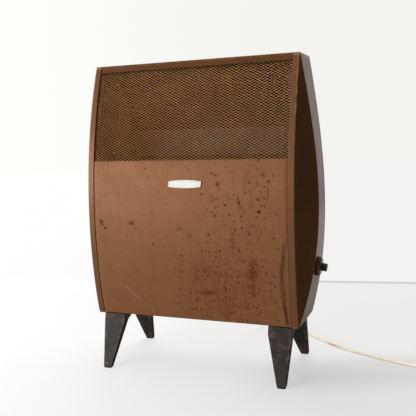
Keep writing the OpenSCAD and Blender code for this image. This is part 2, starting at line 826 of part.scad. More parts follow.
module plug_body() {
    color([0.93, 0.88, 0.77]) placed() translate(plug_at) rotate([90, 0, 0]) hull() {
        cylinder(r = 6, h = 1, $fn = 32);
        translate([0, 0, plug_len - 12]) linear_extrude(12) hull()
            for (side = [-1, 1]) translate([side * (plug_w - plug_t) / 2, 0]) circle(plug_t / 2, $fn = 32);
    }
}

module plug_pins() {
    color([0.8, 0.7, 0.45]) placed() for (side = [-1, 1])
        translate(plug_at + [side * 9.5, -plug_len, 0]) rotate([90, 0, 0]) cylinder(r = 2, h = 19);
}

side_panel_left();
side_panel_right();
top_panel();
front_panel();
base_plate();
back_panel();
grille_mesh();
grille_rail_upper();
grille_rail_lower();
grille_stile_left();
grille_stile_right();
badge_plate();
badge_clips();
back_screws();
leg_front_left();
leg_front_right();
leg_rear_left();
leg_rear_right();
leg_plates();
leg_screws();
foot_glides();
switch_boss();
switch_body();
switch_rotor();
switch_shaft();
switch_nut();
control_knob();
element_bracket_left();
element_bracket_right();
element_rods();
element_nuts();
ceramic_former_lower();
ceramic_former_upper();
ceramic_end_rings();
heating_coil_lower();
heating_coil_upper();
heat_shield();
front_baffle();
air_deflector();
thermal_cutout();
terminal_block();
terminal_screws();
wire_supply();
wire_switch();
wire_lower_element();
wire_upper_element();
wire_element_link();
wire_cutout();
strain_relief();
strain_relief_nut();
mains_cord();
mains_cord_coil();
mains_cord_tail();
cord_tie();
plug_body();
plug_pins();
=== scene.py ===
import json
import math

import bmesh
import bpy
from mathutils import Matrix, Vector
from mathutils.geometry import delaunay_2d_cdt


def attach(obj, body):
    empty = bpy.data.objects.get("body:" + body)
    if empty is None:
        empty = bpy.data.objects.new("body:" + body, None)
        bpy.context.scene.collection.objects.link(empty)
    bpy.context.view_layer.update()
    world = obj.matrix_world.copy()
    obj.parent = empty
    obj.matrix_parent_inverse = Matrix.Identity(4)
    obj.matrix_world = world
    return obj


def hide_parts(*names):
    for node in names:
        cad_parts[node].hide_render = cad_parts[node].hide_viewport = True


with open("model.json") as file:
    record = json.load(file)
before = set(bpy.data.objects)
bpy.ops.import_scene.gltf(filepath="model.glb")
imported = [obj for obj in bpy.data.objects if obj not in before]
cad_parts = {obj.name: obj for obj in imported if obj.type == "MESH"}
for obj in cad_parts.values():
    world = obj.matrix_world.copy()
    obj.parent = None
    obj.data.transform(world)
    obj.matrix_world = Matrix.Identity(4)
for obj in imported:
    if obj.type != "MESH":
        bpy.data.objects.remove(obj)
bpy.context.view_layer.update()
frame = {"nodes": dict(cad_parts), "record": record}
nodes = frame["nodes"]

# Lengths below are in millimetres and measured from the middle of the cabinet's bottom front edge.
# at() turns them into the row's frame, in metres.
MM = 0.001
CENTRE = Vector((7.15648, 85.0, 0.0))


def at(x, y, z):
    return (Vector((x, y, z)) - CENTRE) * MM


# ---------------------------------------------------------------- cabinet's formulas
HALF_W, CAB_H, CAB_D, LEG_H = 240.0, 573.0, 140.0, 123.0
LEAN, BOW = 43.0, 42.0                 # how far the front leans back, and bows out from its chord
SWELL, SHEET = 31.2, 1.2               # how far each side swells outwards, and the sheets' thickness
STRIP_X = HALF_W - 16.0
Z_LOW, Z_HIGH = LEG_H, LEG_H + CAB_H
BACK_Y = CAB_D - SHEET
GRILLE_Z = Z_LOW + 358.0
BAND_Z = Z_HIGH - 15.5
CHORD = math.hypot(CAB_H, LEAN)
FRONT_R = (CHORD ** 2 / 4 + BOW ** 2) / (2 * BOW)
FRONT_CY = LEAN / 2 + (FRONT_R - BOW) * CAB_H / CHORD
FRONT_CZ = (Z_LOW + Z_HIGH) / 2 - (FRONT_R - BOW) * LEAN / CHORD


def front_y(z, depth=0.0):
    return FRONT_CY - math.sqrt((FRONT_R - depth) ** 2 - (z - FRONT_CZ) ** 2)


def hump(s, skew):
    return 4 * s * (1 - s) * (1 - skew * (s - 0.5))


def side_x(z):
    return HALF_W + SWELL * hump((z - Z_LOW) / CAB_H, 0.513)


def crease_y(z):
    s = (z - Z_LOW) / CAB_H
    return 3 + (LEAN + 6) * s + 41 * hump(s, 1.2)


# ---------------------------------------------------------------- camera
HEADING, PITCH, ROLL = math.radians(21.54), math.radians(6.90), math.radians(-1.81)
EYE = Vector((0.53334, -1.3412, 0.539))
ALONG = (-math.sin(HEADING), math.cos(HEADING), 0.0)       # away from the camera, on the floor
ASIDE = (math.cos(HEADING), math.sin(HEADING), 0.0)        # to its right


def make_camera():
    data = bpy.data.cameras.new("camera")
    data.sensor_width = 36.0
    data.lens = 54.52
    cam = bpy.data.objects.new("camera", data)
    bpy.context.collection.objects.link(cam)
    forward = Vector((ALONG[0] * math.cos(PITCH), ALONG[1] * math.cos(PITCH), -math.sin(PITCH)))
    right = Vector(ASIDE)
    up = right.cross(forward)
    rolled_right = right * math.cos(ROLL) + up * math.sin(ROLL)
    rolled_up = up * math.cos(ROLL) - right * math.sin(ROLL)
    cam.matrix_world = Matrix((rolled_right, rolled_up, -forward)).transposed().to_4x4()
    cam.location = EYE
    bpy.context.scene.camera = cam


make_camera()


# ---------------------------------------------------------------- mesh helpers
def put(mesh, name):
    obj = bpy.data.objects.new(name, mesh)
    bpy.context.collection.objects.link(obj)
    return obj


def make(name, verts, faces, smooth=True, wear=None, raw=False):
    """A mesh object from points in millimetres. A number per point, 0 to 1, marks rubbed edges; the grille
    also uses it for painted highlights, and the badge a value below 0 for painted shade at its foot.
    """
    mesh = bpy.data.meshes.new(name)
    mesh.from_pydata([v if raw else at(*v) for v in verts], [], faces)
    if smooth:
        mesh.polygons.foreach_set("use_smooth", [True] * len(mesh.polygons))
    layer = mesh.attributes.new("wear", "FLOAT", "POINT")
    layer.data.foreach_set("value", wear or [0.0] * len(verts))
    mesh.update()
    return put(mesh, name)


def grid(rows, cols, start=0, closed=False, flip=False):
    """Quads between rows of cols points each."""
    faces = []
    for i in range(rows - 1):
        for j in range(cols if closed else cols - 1):
            a, b = start + i * cols + j, start + i * cols + (j + 1) % cols
            c, d = b + cols, a + cols
            faces.append((a, d, c, b) if flip else (a, b, c, d))
    return faces


def fillet(points, radii, steps=5):
    """A polyline with its inner corners rounded. Points are pairs; a radius of 0 keeps the point."""
    out = [Vector(points[0])]
    for k in range(1, len(points) - 1):
        p, a, b = Vector(points[k]), Vector(points[k - 1]), Vector(points[k + 1])
        r = radii[k - 1]
        if r == 0:
            out.append(p)
            continue
        da, db = (a - p), (b - p)
        la, lb = da.length, db.length
        da, db = da / la, db / lb
        half = math.acos(max(-1.0, min(1.0, da.dot(db)))) / 2
        t = min(r / math.tan(half), 0.45 * la, 0.45 * lb)
        r = t * math.tan(half)
        mid = (da + db).normalized()
        centre = p + mid * (r / math.sin(half))
        start, end = p + da * t - centre, p + db * t - centre
        for i in range(steps + 1):
            out.append(centre + start.lerp(end, i / steps).normalized() * r)
    out.append(Vector(points[-1]))
    return out


def solid(obj, thickness, offset=-1.0):
    mod = obj.modifiers.new("sheet", "SOLIDIFY")
    mod.thickness = thickness * MM
    mod.offset = offset


def bevel(obj, width, segments, angle):
    mod = obj.modifiers.new("edges", "BEVEL")
    mod.width = width * MM
    mod.segments = segments
    mod.limit_method = "ANGLE"
    mod.angle_limit = math.radians(angle)
    mod.harden_normals = True


def circle(r, sides):
    turns = (2 * math.pi * k / sides for k in range(sides))
    return [(r * math.cos(a), r * math.sin(a)) for a in turns]


def revolve(name, profile, place, sides):
    """Turns (radius, height) pairs round the local Z of the place matrix."""
    verts = [place @ (Vector((x, y, h)) * MM) for r, h in profile for x, y in circle(r, sides)]
    return make(name, verts, grid(len(profile), sides, closed=True), raw=True)


def divided(bends, pitch, measure=lambda a, b: (b - a).length):
    """A bent line with its longer stretches divided into steps of about the pitch."""
    path = []
    for a, b in zip(bends, bends[1:]):
        steps = max(1, round(measure(a, b) / pitch))
        path += [a.lerp(b, k / steps) for k in range(steps)]
    return path + [bends[-1]]


def face_outwards(obj, merge=0.0):
    """Turns all faces outwards, once points closer than merge (metres) are joined."""
    bm = bmesh.new()
    bm.from_mesh(obj.data)
    if merge:
        bmesh.ops.remove_doubles(bm, verts=bm.verts, dist=merge)
    bmesh.ops.recalc_face_normals(bm, faces=bm.faces)
    bm.to_mesh(obj.data)
    bm.free()


# ---------------------------------------------------------------- materials
class Nodes:
    """A node tree under construction, of a material or of the world."""

    def __init__(self, owner, space):
        owner.use_nodes = True
        self.tree = owner.node_tree
        self.tree.nodes.clear()
        self.coords = self.new("ShaderNodeTexCoord").outputs[space]

    def new(self, kind, feeds=None, **props):
        """A node with its properties set and its inputs fed."""
        node = self.tree.nodes.new(kind)
        for key, value in props.items():
            setattr(node, key, value)
        for key, value in (feeds or {}).items():
            self.feed(node.inputs[key], value)
        return node

    def feed(self, socket, value):
        if isinstance(value, bpy.types.NodeSocket):
            self.tree.links.new(value, socket)
        elif isinstance(value, (tuple, list)) and len(value) == 3 and len(socket.default_value) == 4:
            socket.default_value = (*value, 1.0)
        else:
            socket.default_value = value

    def stretch(self, *scale):
        return self.new("ShaderNodeMapping", {"Vector": self.coords, "Scale": scale}).outputs[0]

    def noise(self, scale, detail=3.0, rough=0.5, vector=None, distort=0.0):
        feeds = {"Vector": vector or self.coords, "Scale": scale, "Detail": detail, "Roughness": rough,
                 "Distortion": distort}
        return self.new("ShaderNodeTexNoise", feeds).outputs["Fac"]

    def cells(self, scale):
        return self.new("ShaderNodeTexVoronoi", {"Vector": self.coords, "Scale": scale}).outputs["Distance"]

    def math(self, op, a, b=0.5, clamp=False):
        return self.new("ShaderNodeMath", {0: a, 1: b}, operation=op, use_clamp=clamp).outputs[0]

    def fold(self, op, parts):
        total = parts[0]
        for part in parts[1:]:
            total = self.math(op, total, part)
        return total

    def add(self, *parts):
        return self.fold("ADD", parts)

    def mul(self, *parts):
        return self.fold("MULTIPLY", parts)

    def most(self, *parts):
        return self.fold("MAXIMUM", parts)

    def sub(self, a, b):
        return self.math("SUBTRACT", a, b)

    def ranged(self, value, low, high, to_low=0.0, to_high=1.0, smooth=True):
        node = self.new("ShaderNodeMapRange", interpolation_type="SMOOTHSTEP" if smooth else "LINEAR")
        for socket, v in zip(node.inputs, (value, low, high, to_low, to_high)):
            self.feed(socket, v)
        return node.outputs[0]

    def near(self, value, target, outer, inner, share=1.0):
        """The share where a value is within inner of its target, falling to 0 at outer."""
        return self.ranged(self.math("ABSOLUTE", self.sub(value, target)), outer, inner, 0.0, share)

    def mix(self, fac, a, b):
        return self.new("ShaderNodeMix", {0: fac, 6: a, 7: b}, data_type="RGBA").outputs[2]

    def over(self, tone, mask, share, colour):
        """A colour laid over a tone where the mask is, at a share of its full strength."""
        return self.mix(self.mul(mask, share), tone, colour)

    def speckle(self, scale, share, vector, largest):
        """Spots of random sizes, one in some of the cells: share (0 to 1) is how many cells have one."""
        node = self.new("ShaderNodeTexVoronoi", {"Vector": vector, "Scale": scale})
        chance = self.new("ShaderNodeSeparateXYZ", {0: node.outputs["Color"]}).outputs[0]
        size = self.ranged(chance, self.sub(1.0, share), 1.02, 0.0, largest, smooth=False)
        return self.ranged(self.sub(size, node.outputs["Distance"]), 0.0, 0.10)

    def warped(self, scale, amount):
        """The coordinates shaken by a fine noise, which makes round spots ragged."""
        noise = self.new("ShaderNodeTexNoise", {"Vector": self.coords, "Scale": scale, "Detail": 3.0})
        feeds = {0: noise.outputs["Color"], 1: (amount,) * 3, 2: self.coords}
        return self.new("ShaderNodeVectorMath", feeds, operation="MULTIPLY_ADD").outputs[0]

    def dot(self, vector, direction):
        feeds = {0: vector, 1: direction}
        return self.new("ShaderNodeVectorMath", feeds, operation="DOT_PRODUCT").outputs["Value"]

    def seen(self):
        """1 for what the camera sees directly, 0 for what lights or is mirrored."""
        return self.new("ShaderNodeLightPath").outputs["Is Camera Ray"]

    def attribute(self, name):
        return self.new("ShaderNodeAttribute", attribute_name=name).outputs["Fac"]

    def bump(self, height, strength, distance, under=None):
        node = self.new("ShaderNodeBump", {"Height": height, "Strength": strength, "Distance": distance})
        if under is not None:
            self.feed(node.inputs["Normal"], under)
        return node.outputs[0]


class Shade(Nodes):
    """A material's tree. Coordinates are the object's own, in metres."""

    def __init__(self, name):
        self.mat = bpy.data.materials.new(name)
        super().__init__(self.mat, "Object")
        self.bsdf = self.new("ShaderNodeBsdfPrincipled")
        self.out = self.new("ShaderNodeOutputMaterial", {0: self.bsdf.outputs[0]})
        self.x, self.y, self.z = self.new("ShaderNodeSeparateXYZ", {0: self.coords}).outputs

    def set(self, **values):
        for key, value in values.items():
            self.feed(self.bsdf.inputs[key.replace("_", " ")], value)

    def spot(self, x, z, rx, rz, ragged=None):
        """1 at a point of the front (mm), falling to 0 at the radii; a noise makes its edge ragged."""
        cx, _, cz = at(x, 0, z)
        dx = self.mul(self.sub(self.x, cx), 1 / (rx * MM))
        dz = self.mul(self.sub(self.z, cz), 1 / (rz * MM))
        d2 = self.add(self.mul(dx, dx), self.mul(dz, dz))
        if ragged is None:
            return self.ranged(d2, 1.0, 0.0)
        return self.ranged(self.add(d2, self.mul(self.sub(ragged, 0.5), RAGGED)), 0.8, 0.3)

    def scratch(self, x1, z1, x2, z2, width, wavy):
        """1 along a line on the front, given by its ends in millimetres; a noise bends it."""
        a, b = at(x1, 0, z1), at(x2, 0, z2)
        length = math.hypot(b[0] - a[0], b[2] - a[2])
        ux, uz = (b[0] - a[0]) / length, (b[2] - a[2]) / length
        dx, dz = self.sub(self.x, a[0]), self.sub(self.z, a[2])
        along = self.add(self.mul(dx, ux), self.mul(dz, uz))
        across = self.add(self.mul(dx, -uz), self.mul(dz, ux))
        across = self.add(across, self.mul(self.sub(wavy, 0.5), WAVE))
        line = self.ranged(self.math("ABSOLUTE", across), width * MM, 0.2 * width * MM)
        ends = self.mul(self.ranged(along, 0.0, TAPER), self.ranged(along, length, length - TAPER))
        return self.mul(line, ends)


RAGGED = 7.0                           # how strongly a noise breaks up a spot, in squares of its radius
WAVE, TAPER = 0.006, 0.01              # a scratch's sideways waves and its fading ends, in metres
RUST_DARK, RUST_RED = (0.060, 0.016, 0.006), (0.130, 0.030, 0.006)
BARE = (0.032, 0.013, 0.007)
RUSTY_ZONES = ((88, 205, 145, 125, 1.0), (140, 400, 130, 120, 0.42), (150, 300, 110, 130, 0.45))
RUST_MARKS = (                         # x, z, half width, half height, depth
    (166, 372, 6.0, 5.0, 0.9), (-208, 342, 6.0, 10.0, 0.6), (-132, 342, 9.0, 6.0, 0.8),
    (150, 262, 10.0, 13.0, 0.8), (148, 238, 14.0, 20.0, 0.85), (147, 212, 6.0, 17.0, 0.7),
    (41, 191, 24.0, 8.0, 0.8), (74, 429, 6.0, 6.0, 0.8), (175, 447, 5.0, 8.0, 0.65),
    (185, 408, 3.5, 18.0, 0.5), (63, 402, 4.0, 5.0, 0.6), (40, 408, 5.0, 4.0, 0.55),
    (92, 385, 3.5, 3.0, 0.9), (8, 317, 8.0, 6.0, 0.6), (-13, 333, 8.0, 4.0, 0.5))
BONE_MARK = ((107, 325, 9.0, 5.5), (107, 310, 5.0, 18.0), (106, 296, 10.0, 5.5))
SEAM_STAIN = ((218, 312, 210, 236), (210, 248, 212, 190), (212, 200, 217, 126))
DARK_SCRATCHES = (                     # x and z of both ends, width
    (-12, 478, 18, 452, 1.5), (-216, 352, -196, 326, 1.7), (-214, 352, -206, 334, 1.2),
    (48, 326, 56, 318, 1.2), (118, 403, 125, 387, 3.4))
CHIPS = ((120, 398, 2.6, 5.0), (123, 390, 3.6, 6.0), (166, 371, 4.2, 3.2), (-199, 329, 5.5, 3.6),
         (92, 385, 2.5, 2.0))


def front_rust(s):
    """Rust on the front panel: flecks and runs at its lower right, separate marks, a stain by the seam."""
    ragged, wavy = s.noise(320.0, 5.0, 0.75), s.noise(30.0, 3.0)
    zone = s.most(*(s.mul(s.spot(*place), share) for *place, share in RUSTY_ZONES))
    shaken, crowd = s.warped(230.0, 0.006), s.mul(zone, 2.0)
    spots = s.most(s.speckle(120.0, s.add(crowd, 0.10), shaken, 0.46),
                   s.speckle(62.0, s.add(crowd, 0.08), shaken, 0.34))
    flecks = s.ranged(s.add(s.noise(120.0, 6.0, 0.75), s.mul(zone, 0.10)), 0.60, 0.74)
    flecks = s.mul(flecks, s.ranged(zone, 0.0, 0.4, 0.0, 0.75))
    streaks = s.ranged(s.noise(7.0, 5.0, 0.65, s.stretch(13.0, 13.0, 2.4)), 0.50, 0.68)
    rust = s.most(s.mul(spots, s.ranged(s.noise(55.0, 2.0), 0.35, 0.65, 0.35, 0.9)), flecks,
                  s.mul(streaks, s.ranged(zone, 0.15, 0.8), 0.50),
                  *(s.mul(s.spot(*place, ragged), depth) for *place, depth in RUST_MARKS),
                  *(s.mul(s.spot(*place), 0.5) for place in BONE_MARK))
    stain = s.most(s.spot(211, 205, 8.0, 22.0, ragged), *(s.scratch(*ends, 6.5, wavy) for ends in SEAM_STAIN))
    dark = s.most(s.mul(stain, s.ranged(s.noise(26.0, 4.0, 0.65), 0.35, 0.6, 0.55, 0.95)),
                  *(s.mul(s.scratch(*scratch, wavy), 0.75) for scratch in DARK_SCRATCHES),
                  *(s.spot(x, z, 1.2 * rx, 1.2 * rz) for x, z, rx, rz in CHIPS))
    scuff = s.most(s.scratch(-163, 199, -122, 160, 1.2, wavy), s.scratch(-118, 155, -88, 130, 0.8, wavy),
                   s.mul(s.scratch(223, 300, 222, 200, 1.2, wavy), 0.4), s.spot(205, 323, 2.5, 2.5))
    return rust, dark, scuff


def enamel(name, base, dark, light, rough=0.4, front=False, grime=0.2, gloss=0.3, tint=(1.0, 0.72, 0.56),
           dull=None):
    """Brown metallic stove enamel: mottled, faintly orange-peeled, with rust specks and rubbed edges.

    dull is the gloss that is left where wear is below 0."""
    s = Shade(name)
    colour = s.mix(s.ranged(s.noise(5.0, 4.0, 0.55), 0.35, 0.68), base, light)
    colour = s.over(colour, s.ranged(s.noise(28.0, 4.0, 0.6), 0.5, 0.72), grime, dark)
    for scale, share in (((30.0, 30.0, 2.0), 0.16), ((2.0, 2.0, 30.0), 0.12)):      # brushed up, then across
        colour = s.over(colour, s.ranged(s.noise(6.0, 4.0, 0.6, s.stretch(*scale)), 0.45, 0.7), share, dark)
    colour = s.over(colour, s.ranged(s.noise(300.0, 3.0, 0.7), 0.42, 0.70), 0.32, dark)
    colour = s.over(colour, s.ranged(s.cells(1500.0), 0.32, 0.1), 0.08, (0.36, 0.16, 0.05))
    rust = s.mul(s.ranged(s.cells(150.0), 0.17, 0.09), s.ranged(s.noise(46.0, 2.0), 0.58, 0.66), 0.5)
    if front:
        marks, bare, scuff = front_rust(s)
        rust = s.most(rust, marks)
        colour = s.over(colour, scuff, 0.5, (0.40, 0.31, 0.24))
    colour = s.mix(rust, colour, s.mix(s.ranged(s.noise(70.0, 3.0), 0.36, 0.52), RUST_DARK, RUST_RED))
    if front:
        colour = s.over(colour, bare, 0.85, BARE)
    rub = s.mul(s.attribute("wear"), s.ranged(s.noise(60.0, 5.0, 0.7), 0.38, 0.56))
    colour = s.over(colour, rub, 0.8, (0.50, 0.28, 0.10))
    roughness = s.ranged(s.noise(18.0, 5.0, 0.6), 0.3, 0.7, rough - 0.02, rough + 0.05)
    dent = s.bump(s.noise(7.0, 2.0), 0.03, 0.003, s.bump(s.noise(240.0, 2.0), 0.16, 0.0003))
    if dull is not None:
        gloss = s.ranged(s.attribute("wear"), -1.0, -0.1, dull, gloss)
    s.set(Base_Color=colour, Roughness=s.math("ADD", roughness, s.mul(rust, 0.35), clamp=True),
          Normal=s.bump(rust, 0.35, 0.0004, dent), Metallic=0.1, Specular_IOR_Level=gloss, Specular_Tint=tint)
    return s.mat


def scaled(colour, factor):
    return tuple(c * factor for c in colour)


def steel(name, colour, rough=0.42, metal=0.9, spangle=60.0, dirt=(0.07, 0.05, 0.035), gloss=0.5):
    s = Shade(name)
    tone = s.mix(s.ranged(s.cells(spangle), 0.1, 0.7), colour, scaled(colour, 0.72))
    tone = s.over(tone, s.ranged(s.noise(35.0, 5.0, 0.65), 0.48, 0.75), 0.6, dirt)
    s.set(Base_Color=tone, Metallic=metal, Specular_IOR_Level=gloss,
          Roughness=s.ranged(s.noise(120.0, 3.0), 0.3, 0.7, rough - 0.08, rough + 0.15),
          Normal=s.bump(s.noise(500.0, 2.0), 0.15, 0.0002))
    return s.mat


def moulded(name, colour, rough=0.35, worn=None, grain=900.0, strength=0.08):
    """Moulded plastic, rubber or thermoset, with dust in its grain and a lighter rubbed tone."""
    s = Shade(name)
    worn = worn or tuple(min(1.0, c * 1.5 + 0.01) for c in colour)
    tone = s.mix(s.ranged(s.noise(45.0, 4.0, 0.6), 0.4, 0.75), colour, worn)
    tone = s.over(tone, s.ranged(s.noise(350.0, 3.0, 0.7), 0.55, 0.8), 0.4, scaled(colour, 0.6))
    s.set(Base_Color=tone, Roughness=s.ranged(s.noise(90.0, 4.0), 0.3, 0.7, rough - 0.07, rough + 0.12),
          Normal=s.bump(s.noise(grain, 2.0), strength, 0.0003))
    return s.mat


def stained_wood(name):
    """Black-stained beech: grain along the leg, stain rubbed through to brown at edges and ends."""
    s = Shade(name)
    along = s.stretch(55.0, 55.0, 5.0)
    grain, pores = s.noise(4.0, 6.0, 0.65, along, 0.6), s.noise(16.0, 3.0, 0.6, along)
    tone = s.mix(s.ranged(grain, 0.35, 0.7), (0.0085, 0.0080, 0.0084), (0.024, 0.0225, 0.0235))
    tone = s.over(tone, s.ranged(pores, 0.52, 0.7), 0.6, (0.008, 0.007, 0.007))
    low = s.mul(s.ranged(s.z, 0.022, 0.005), s.ranged(s.noise(95.0, 4.0, 0.7), 0.42, 0.62))
    rub = s.most(s.mul(s.attribute("wear"), s.ranged(s.noise(75.0, 5.0, 0.7), 0.44, 0.60)), s.mul(low, 0.75),
                 s.mul(s.ranged(s.noise(38.0, 5.0, 0.7), 0.54, 0.68), 0.45))
    tone = s.mix(rub, tone, s.mix(s.noise(160.0, 3.0), (0.11, 0.045, 0.022), (0.24, 0.12, 0.055)))
    s.set(Base_Color=tone, Roughness=s.ranged(grain, 0.3, 0.7, 0.44, 0.60), Specular_IOR_Level=0.2,
          Normal=s.bump(pores, 0.25, 0.0004, s.bump(s.noise(30.0, 3.0), 0.15, 0.001)))
    return s.mat


def expanded_metal(name):
    """Bronze-painted strands with fine dark specks, and a painted highlight along some strand edges at the
    knuckles.
    """
    s = Shade(name)
    tone = s.mix(s.ranged(s.noise(22.0, 4.0, 0.6), 0.38, 0.66), (0.48, 0.185, 0.056), (0.68, 0.30, 0.105))
    tone = s.over(tone, s.ranged(s.noise(300.0, 3.0, 0.7), 0.5, 0.75), 0.5, (0.13, 0.055, 0.022))
    # painted highlight on the marked strand edges
    tone = s.over(tone, s.attribute("wear"), 0.6, (0.90, 0.50, 0.20))
    s.set(Base_Color=tone, Metallic=0.45, Specular_Tint=(1.0, 0.72, 0.5),
          Roughness=s.ranged(s.noise(200.0, 3.0), 0.3, 0.7, 0.34, 0.55),
          Normal=s.bump(s.noise(1200.0, 2.0), 0.12, 0.0002))
    return s.mat


def badge_paint(name):
    """Cream enamel on brass. The per-point number is -1 on the edge at its foot, painted dark as shade, 0 on
    the sides and 1 on the polished rim.
    """
    s = Shade(name)
    height = s.attribute("wear")
    tone = s.mix(s.ranged(s.noise(90.0, 5.0, 0.65), 0.4, 0.7), (0.70, 0.69, 0.635), (0.745, 0.735, 0.69))
    tone = s.over(tone, s.ranged(s.noise(300.0, 3.0, 0.7), 0.6, 0.8), 0.4, (0.55, 0.50, 0.40))
    tone = s.mix(s.ranged(height, 0.1, 0.9, 0.0, 0.7), tone, (0.79, 0.77, 0.69))
    # painted shade: the badge's foot is darkened
    tone = s.mix(s.ranged(height, -0.2, -0.9), tone, (0.10, 0.055, 0.020))
    s.set(Base_Color=tone, Roughness=s.ranged(s.noise(60.0, 4.0), 0.3, 0.7, 0.25, 0.40),
          Normal=s.bump(s.noise(500.0, 2.0), 0.06, 0.0002))
    return s.mat


def woven(name, colour, dark):
    s = Shade(name)
    feeds = {"Vector": s.coords, "Scale": 320.0, "Distortion": 2.0}
    weave = s.new("ShaderNodeTexWave", feeds, wave_type="BANDS", bands_direction="DIAGONAL").outputs["Fac"]
    tone = s.mix(s.ranged(weave, 0.2, 0.8), dark, colour)
    tone = s.over(tone, s.noise(60.0, 3.0), 0.4, dark)
    s.set(Base_Color=tone, Roughness=0.85, Normal=s.bump(weave, 0.4, 0.0003))
    return s.mat


def fired(name, colour):
    s = Shade(name)
    tone = s.mix(s.ranged(s.noise(60.0, 5.0, 0.65), 0.42, 0.75), colour, scaled(colour, 0.66))
    tone = s.over(tone, s.ranged(s.noise(25.0, 3.0), 0.5, 0.75), 0.35, (0.22, 0.16, 0.10))
    s.set(Base_Color=tone, Roughness=0.72, Normal=s.bump(s.noise(700.0, 3.0), 0.25, 0.0003))
    return s.mat


FRONT = enamel("front_enamel", (0.229, 0.0955, 0.0390), (0.120, 0.042, 0.013), (0.241, 0.104, 0.0448), 0.45,
               front=True, gloss=0.25)
STRIP = enamel("strip_enamel", (0.172, 0.077, 0.036), (0.090, 0.034, 0.013), (0.188, 0.086, 0.043), 0.32,
               gloss=0.20, tint=(1.0, 0.58, 0.44), dull=0.0)
# A darker copy of the front's enamel: painted shade for the band above the grille, which gets less light.
BAND = enamel("band_enamel", (0.108, 0.040, 0.0120), (0.062, 0.021, 0.007), (0.124, 0.046, 0.0140), 0.42,
              gloss=0.22)
REAR = enamel("rear_enamel", (0.104, 0.038, 0.0140), (0.054, 0.019, 0.007), (0.126, 0.047, 0.0180), 0.46,
              grime=0.4)
# Near-black inside faces of the sheets: painted shade for the dark inside of the cabinet behind the grille.
INSIDE_SHADE = moulded("inner_painted_shade", (0.020, 0.013, 0.010), 0.75, (0.034, 0.022, 0.016), 300.0, 0.3)
MATERIALS = {
    "cabinet_enamel": REAR,
    # near-black steel inside the cabinet: painted shade behind the grille
    "inner_steel": steel("inner_steel_painted_shade", (0.012, 0.010, 0.009), 0.8, 0.0, dirt=(0.006, 0.005, 0.004),
                         gloss=0.1),
    "grille_metal": expanded_metal("expanded_metal"),
    "badge": badge_paint("badge_cream"),
    "leg_wood": stained_wood("stained_wood"),
    "glide_rubber": moulded("glide_black", (0.012, 0.012, 0.012), 0.7, (0.03, 0.028, 0.026), 500.0, 0.3),
    "fastener_steel": steel("zinc_plate", (0.48, 0.45, 0.40), 0.35, 0.95, 400.0),
    "boss_plastic": moulded("boss_brown", (0.120, 0.048, 0.018), 0.30, (0.20, 0.085, 0.034), 500.0, 0.10),
    "knob_plastic": moulded("knob_black", (0.010, 0.010, 0.010), 0.34, (0.020, 0.019, 0.018), 800.0, 0.12),
    "switch_plastic": moulded("phenolic", (0.040, 0.026, 0.020), 0.45, (0.06, 0.04, 0.03), 300.0, 0.2),
    "ceramic": fired("steatite", (0.72, 0.68, 0.60)),
    "resistance_wire": steel("oxidised_wire", (0.17, 0.15, 0.14), 0.55, 0.8, 300.0),
    "brass": steel("brass", (0.55, 0.38, 0.14), 0.32, 1.0, 500.0),
    "wire_sleeve": woven("glass_sleeve", (0.60, 0.53, 0.40), (0.28, 0.22, 0.15)),
    "cord_sheath": moulded("cord_cream", (0.96, 0.86, 0.67), 0.42, (0.98, 0.92, 0.78), 400.0, 0.12),
    "plug_plastic": moulded("plug_cream", (0.78, 0.68, 0.50), 0.38, (0.83, 0.75, 0.58), 500.0, 0.10),
}
TIE = moulded("tie_black", (0.02, 0.02, 0.02), 0.5)

SLOT_OF = {part["node"]: part["material_slot"] for part in frame["record"]["subparts"]}


def finish_piece(obj, body, slot, material=None, replaced=()):
    """Puts a piece on its body, gives it its material, the slot's own unless one is given, and hides the CAD
    nodes it stands for.
    """
    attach(obj, body)
    if replaced:
        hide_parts(*replaced)
    obj.data.materials.clear()
    obj.data.materials.append(material or MATERIALS[slot])
    # inner faces of the sheets get the near-black painted shade of the cabinet's inside
    if "sheet" in obj.modifiers and slot == "cabinet_enamel":
        obj.data.materials.append(INSIDE_SHADE)
        obj.modifiers["sheet"].material_offset = 1
    return obj


# ---------------------------------------------------------------- mains cord
CORD_R = 3.5
CORD_ROUTE = [
    (40, 180, 170), (40, 205, 162), (40, 240, 132), (41, 280, 85), (43, 318, 42), (46, 350, 15),
    (50, 376, 5), (57, 400, 3.75), (69, 421, 3.55), (90, 432, 3.5), (113, 427, 3.5), (131, 409, 3.5),
    (158, 370, 3.5), (187, 333, 3.5),
    (229, 293, 3.5), (273, 258, 3.5), (312, 234, 3.5), (352, 215, 3.5), (386, 200, 3.5),
    (425, 186, 3.5), (462, 175, 3.5), (497, 169, 3.5), (530, 167.5, 3.5),
]
COIL_AT = Vector((530, 122, 0))
TAIL_ROUTE = [(575.5, 122, 10.5), (575.5, 112, 10.5), (575, 95, 10.3), (573.5, 82, 10), (573, 70, 10)]


def smooth_curve(points, steps):
    """Points along a Catmull-Rom curve, the same one that the CAD tube follows."""
    p = [Vector(q) for q in points]
    out = []
    for i in range(len(p) - 1):
        a, b, c, d = p[max(i - 1, 0)], p[i], p[i + 1], p[min(i + 2, len(p) - 1)]
        for k in range(steps):
            t = k / steps
            out.append(0.5 * (2 * b + (c - a) * t + (2 * a - 5 * b + 4 * c - d) * t ** 2
                              + (3 * b - a - 3 * c + d) * t ** 3))
    out.append(p[-1])
    return out


def eased(turned, begin, end):
    """0 before begin, 1 after end, smooth between; all in degrees wound."""
    f = max(0.0, min(1.0, (turned - begin) / (end - begin)))
    return f * f * (3 - 2 * f)


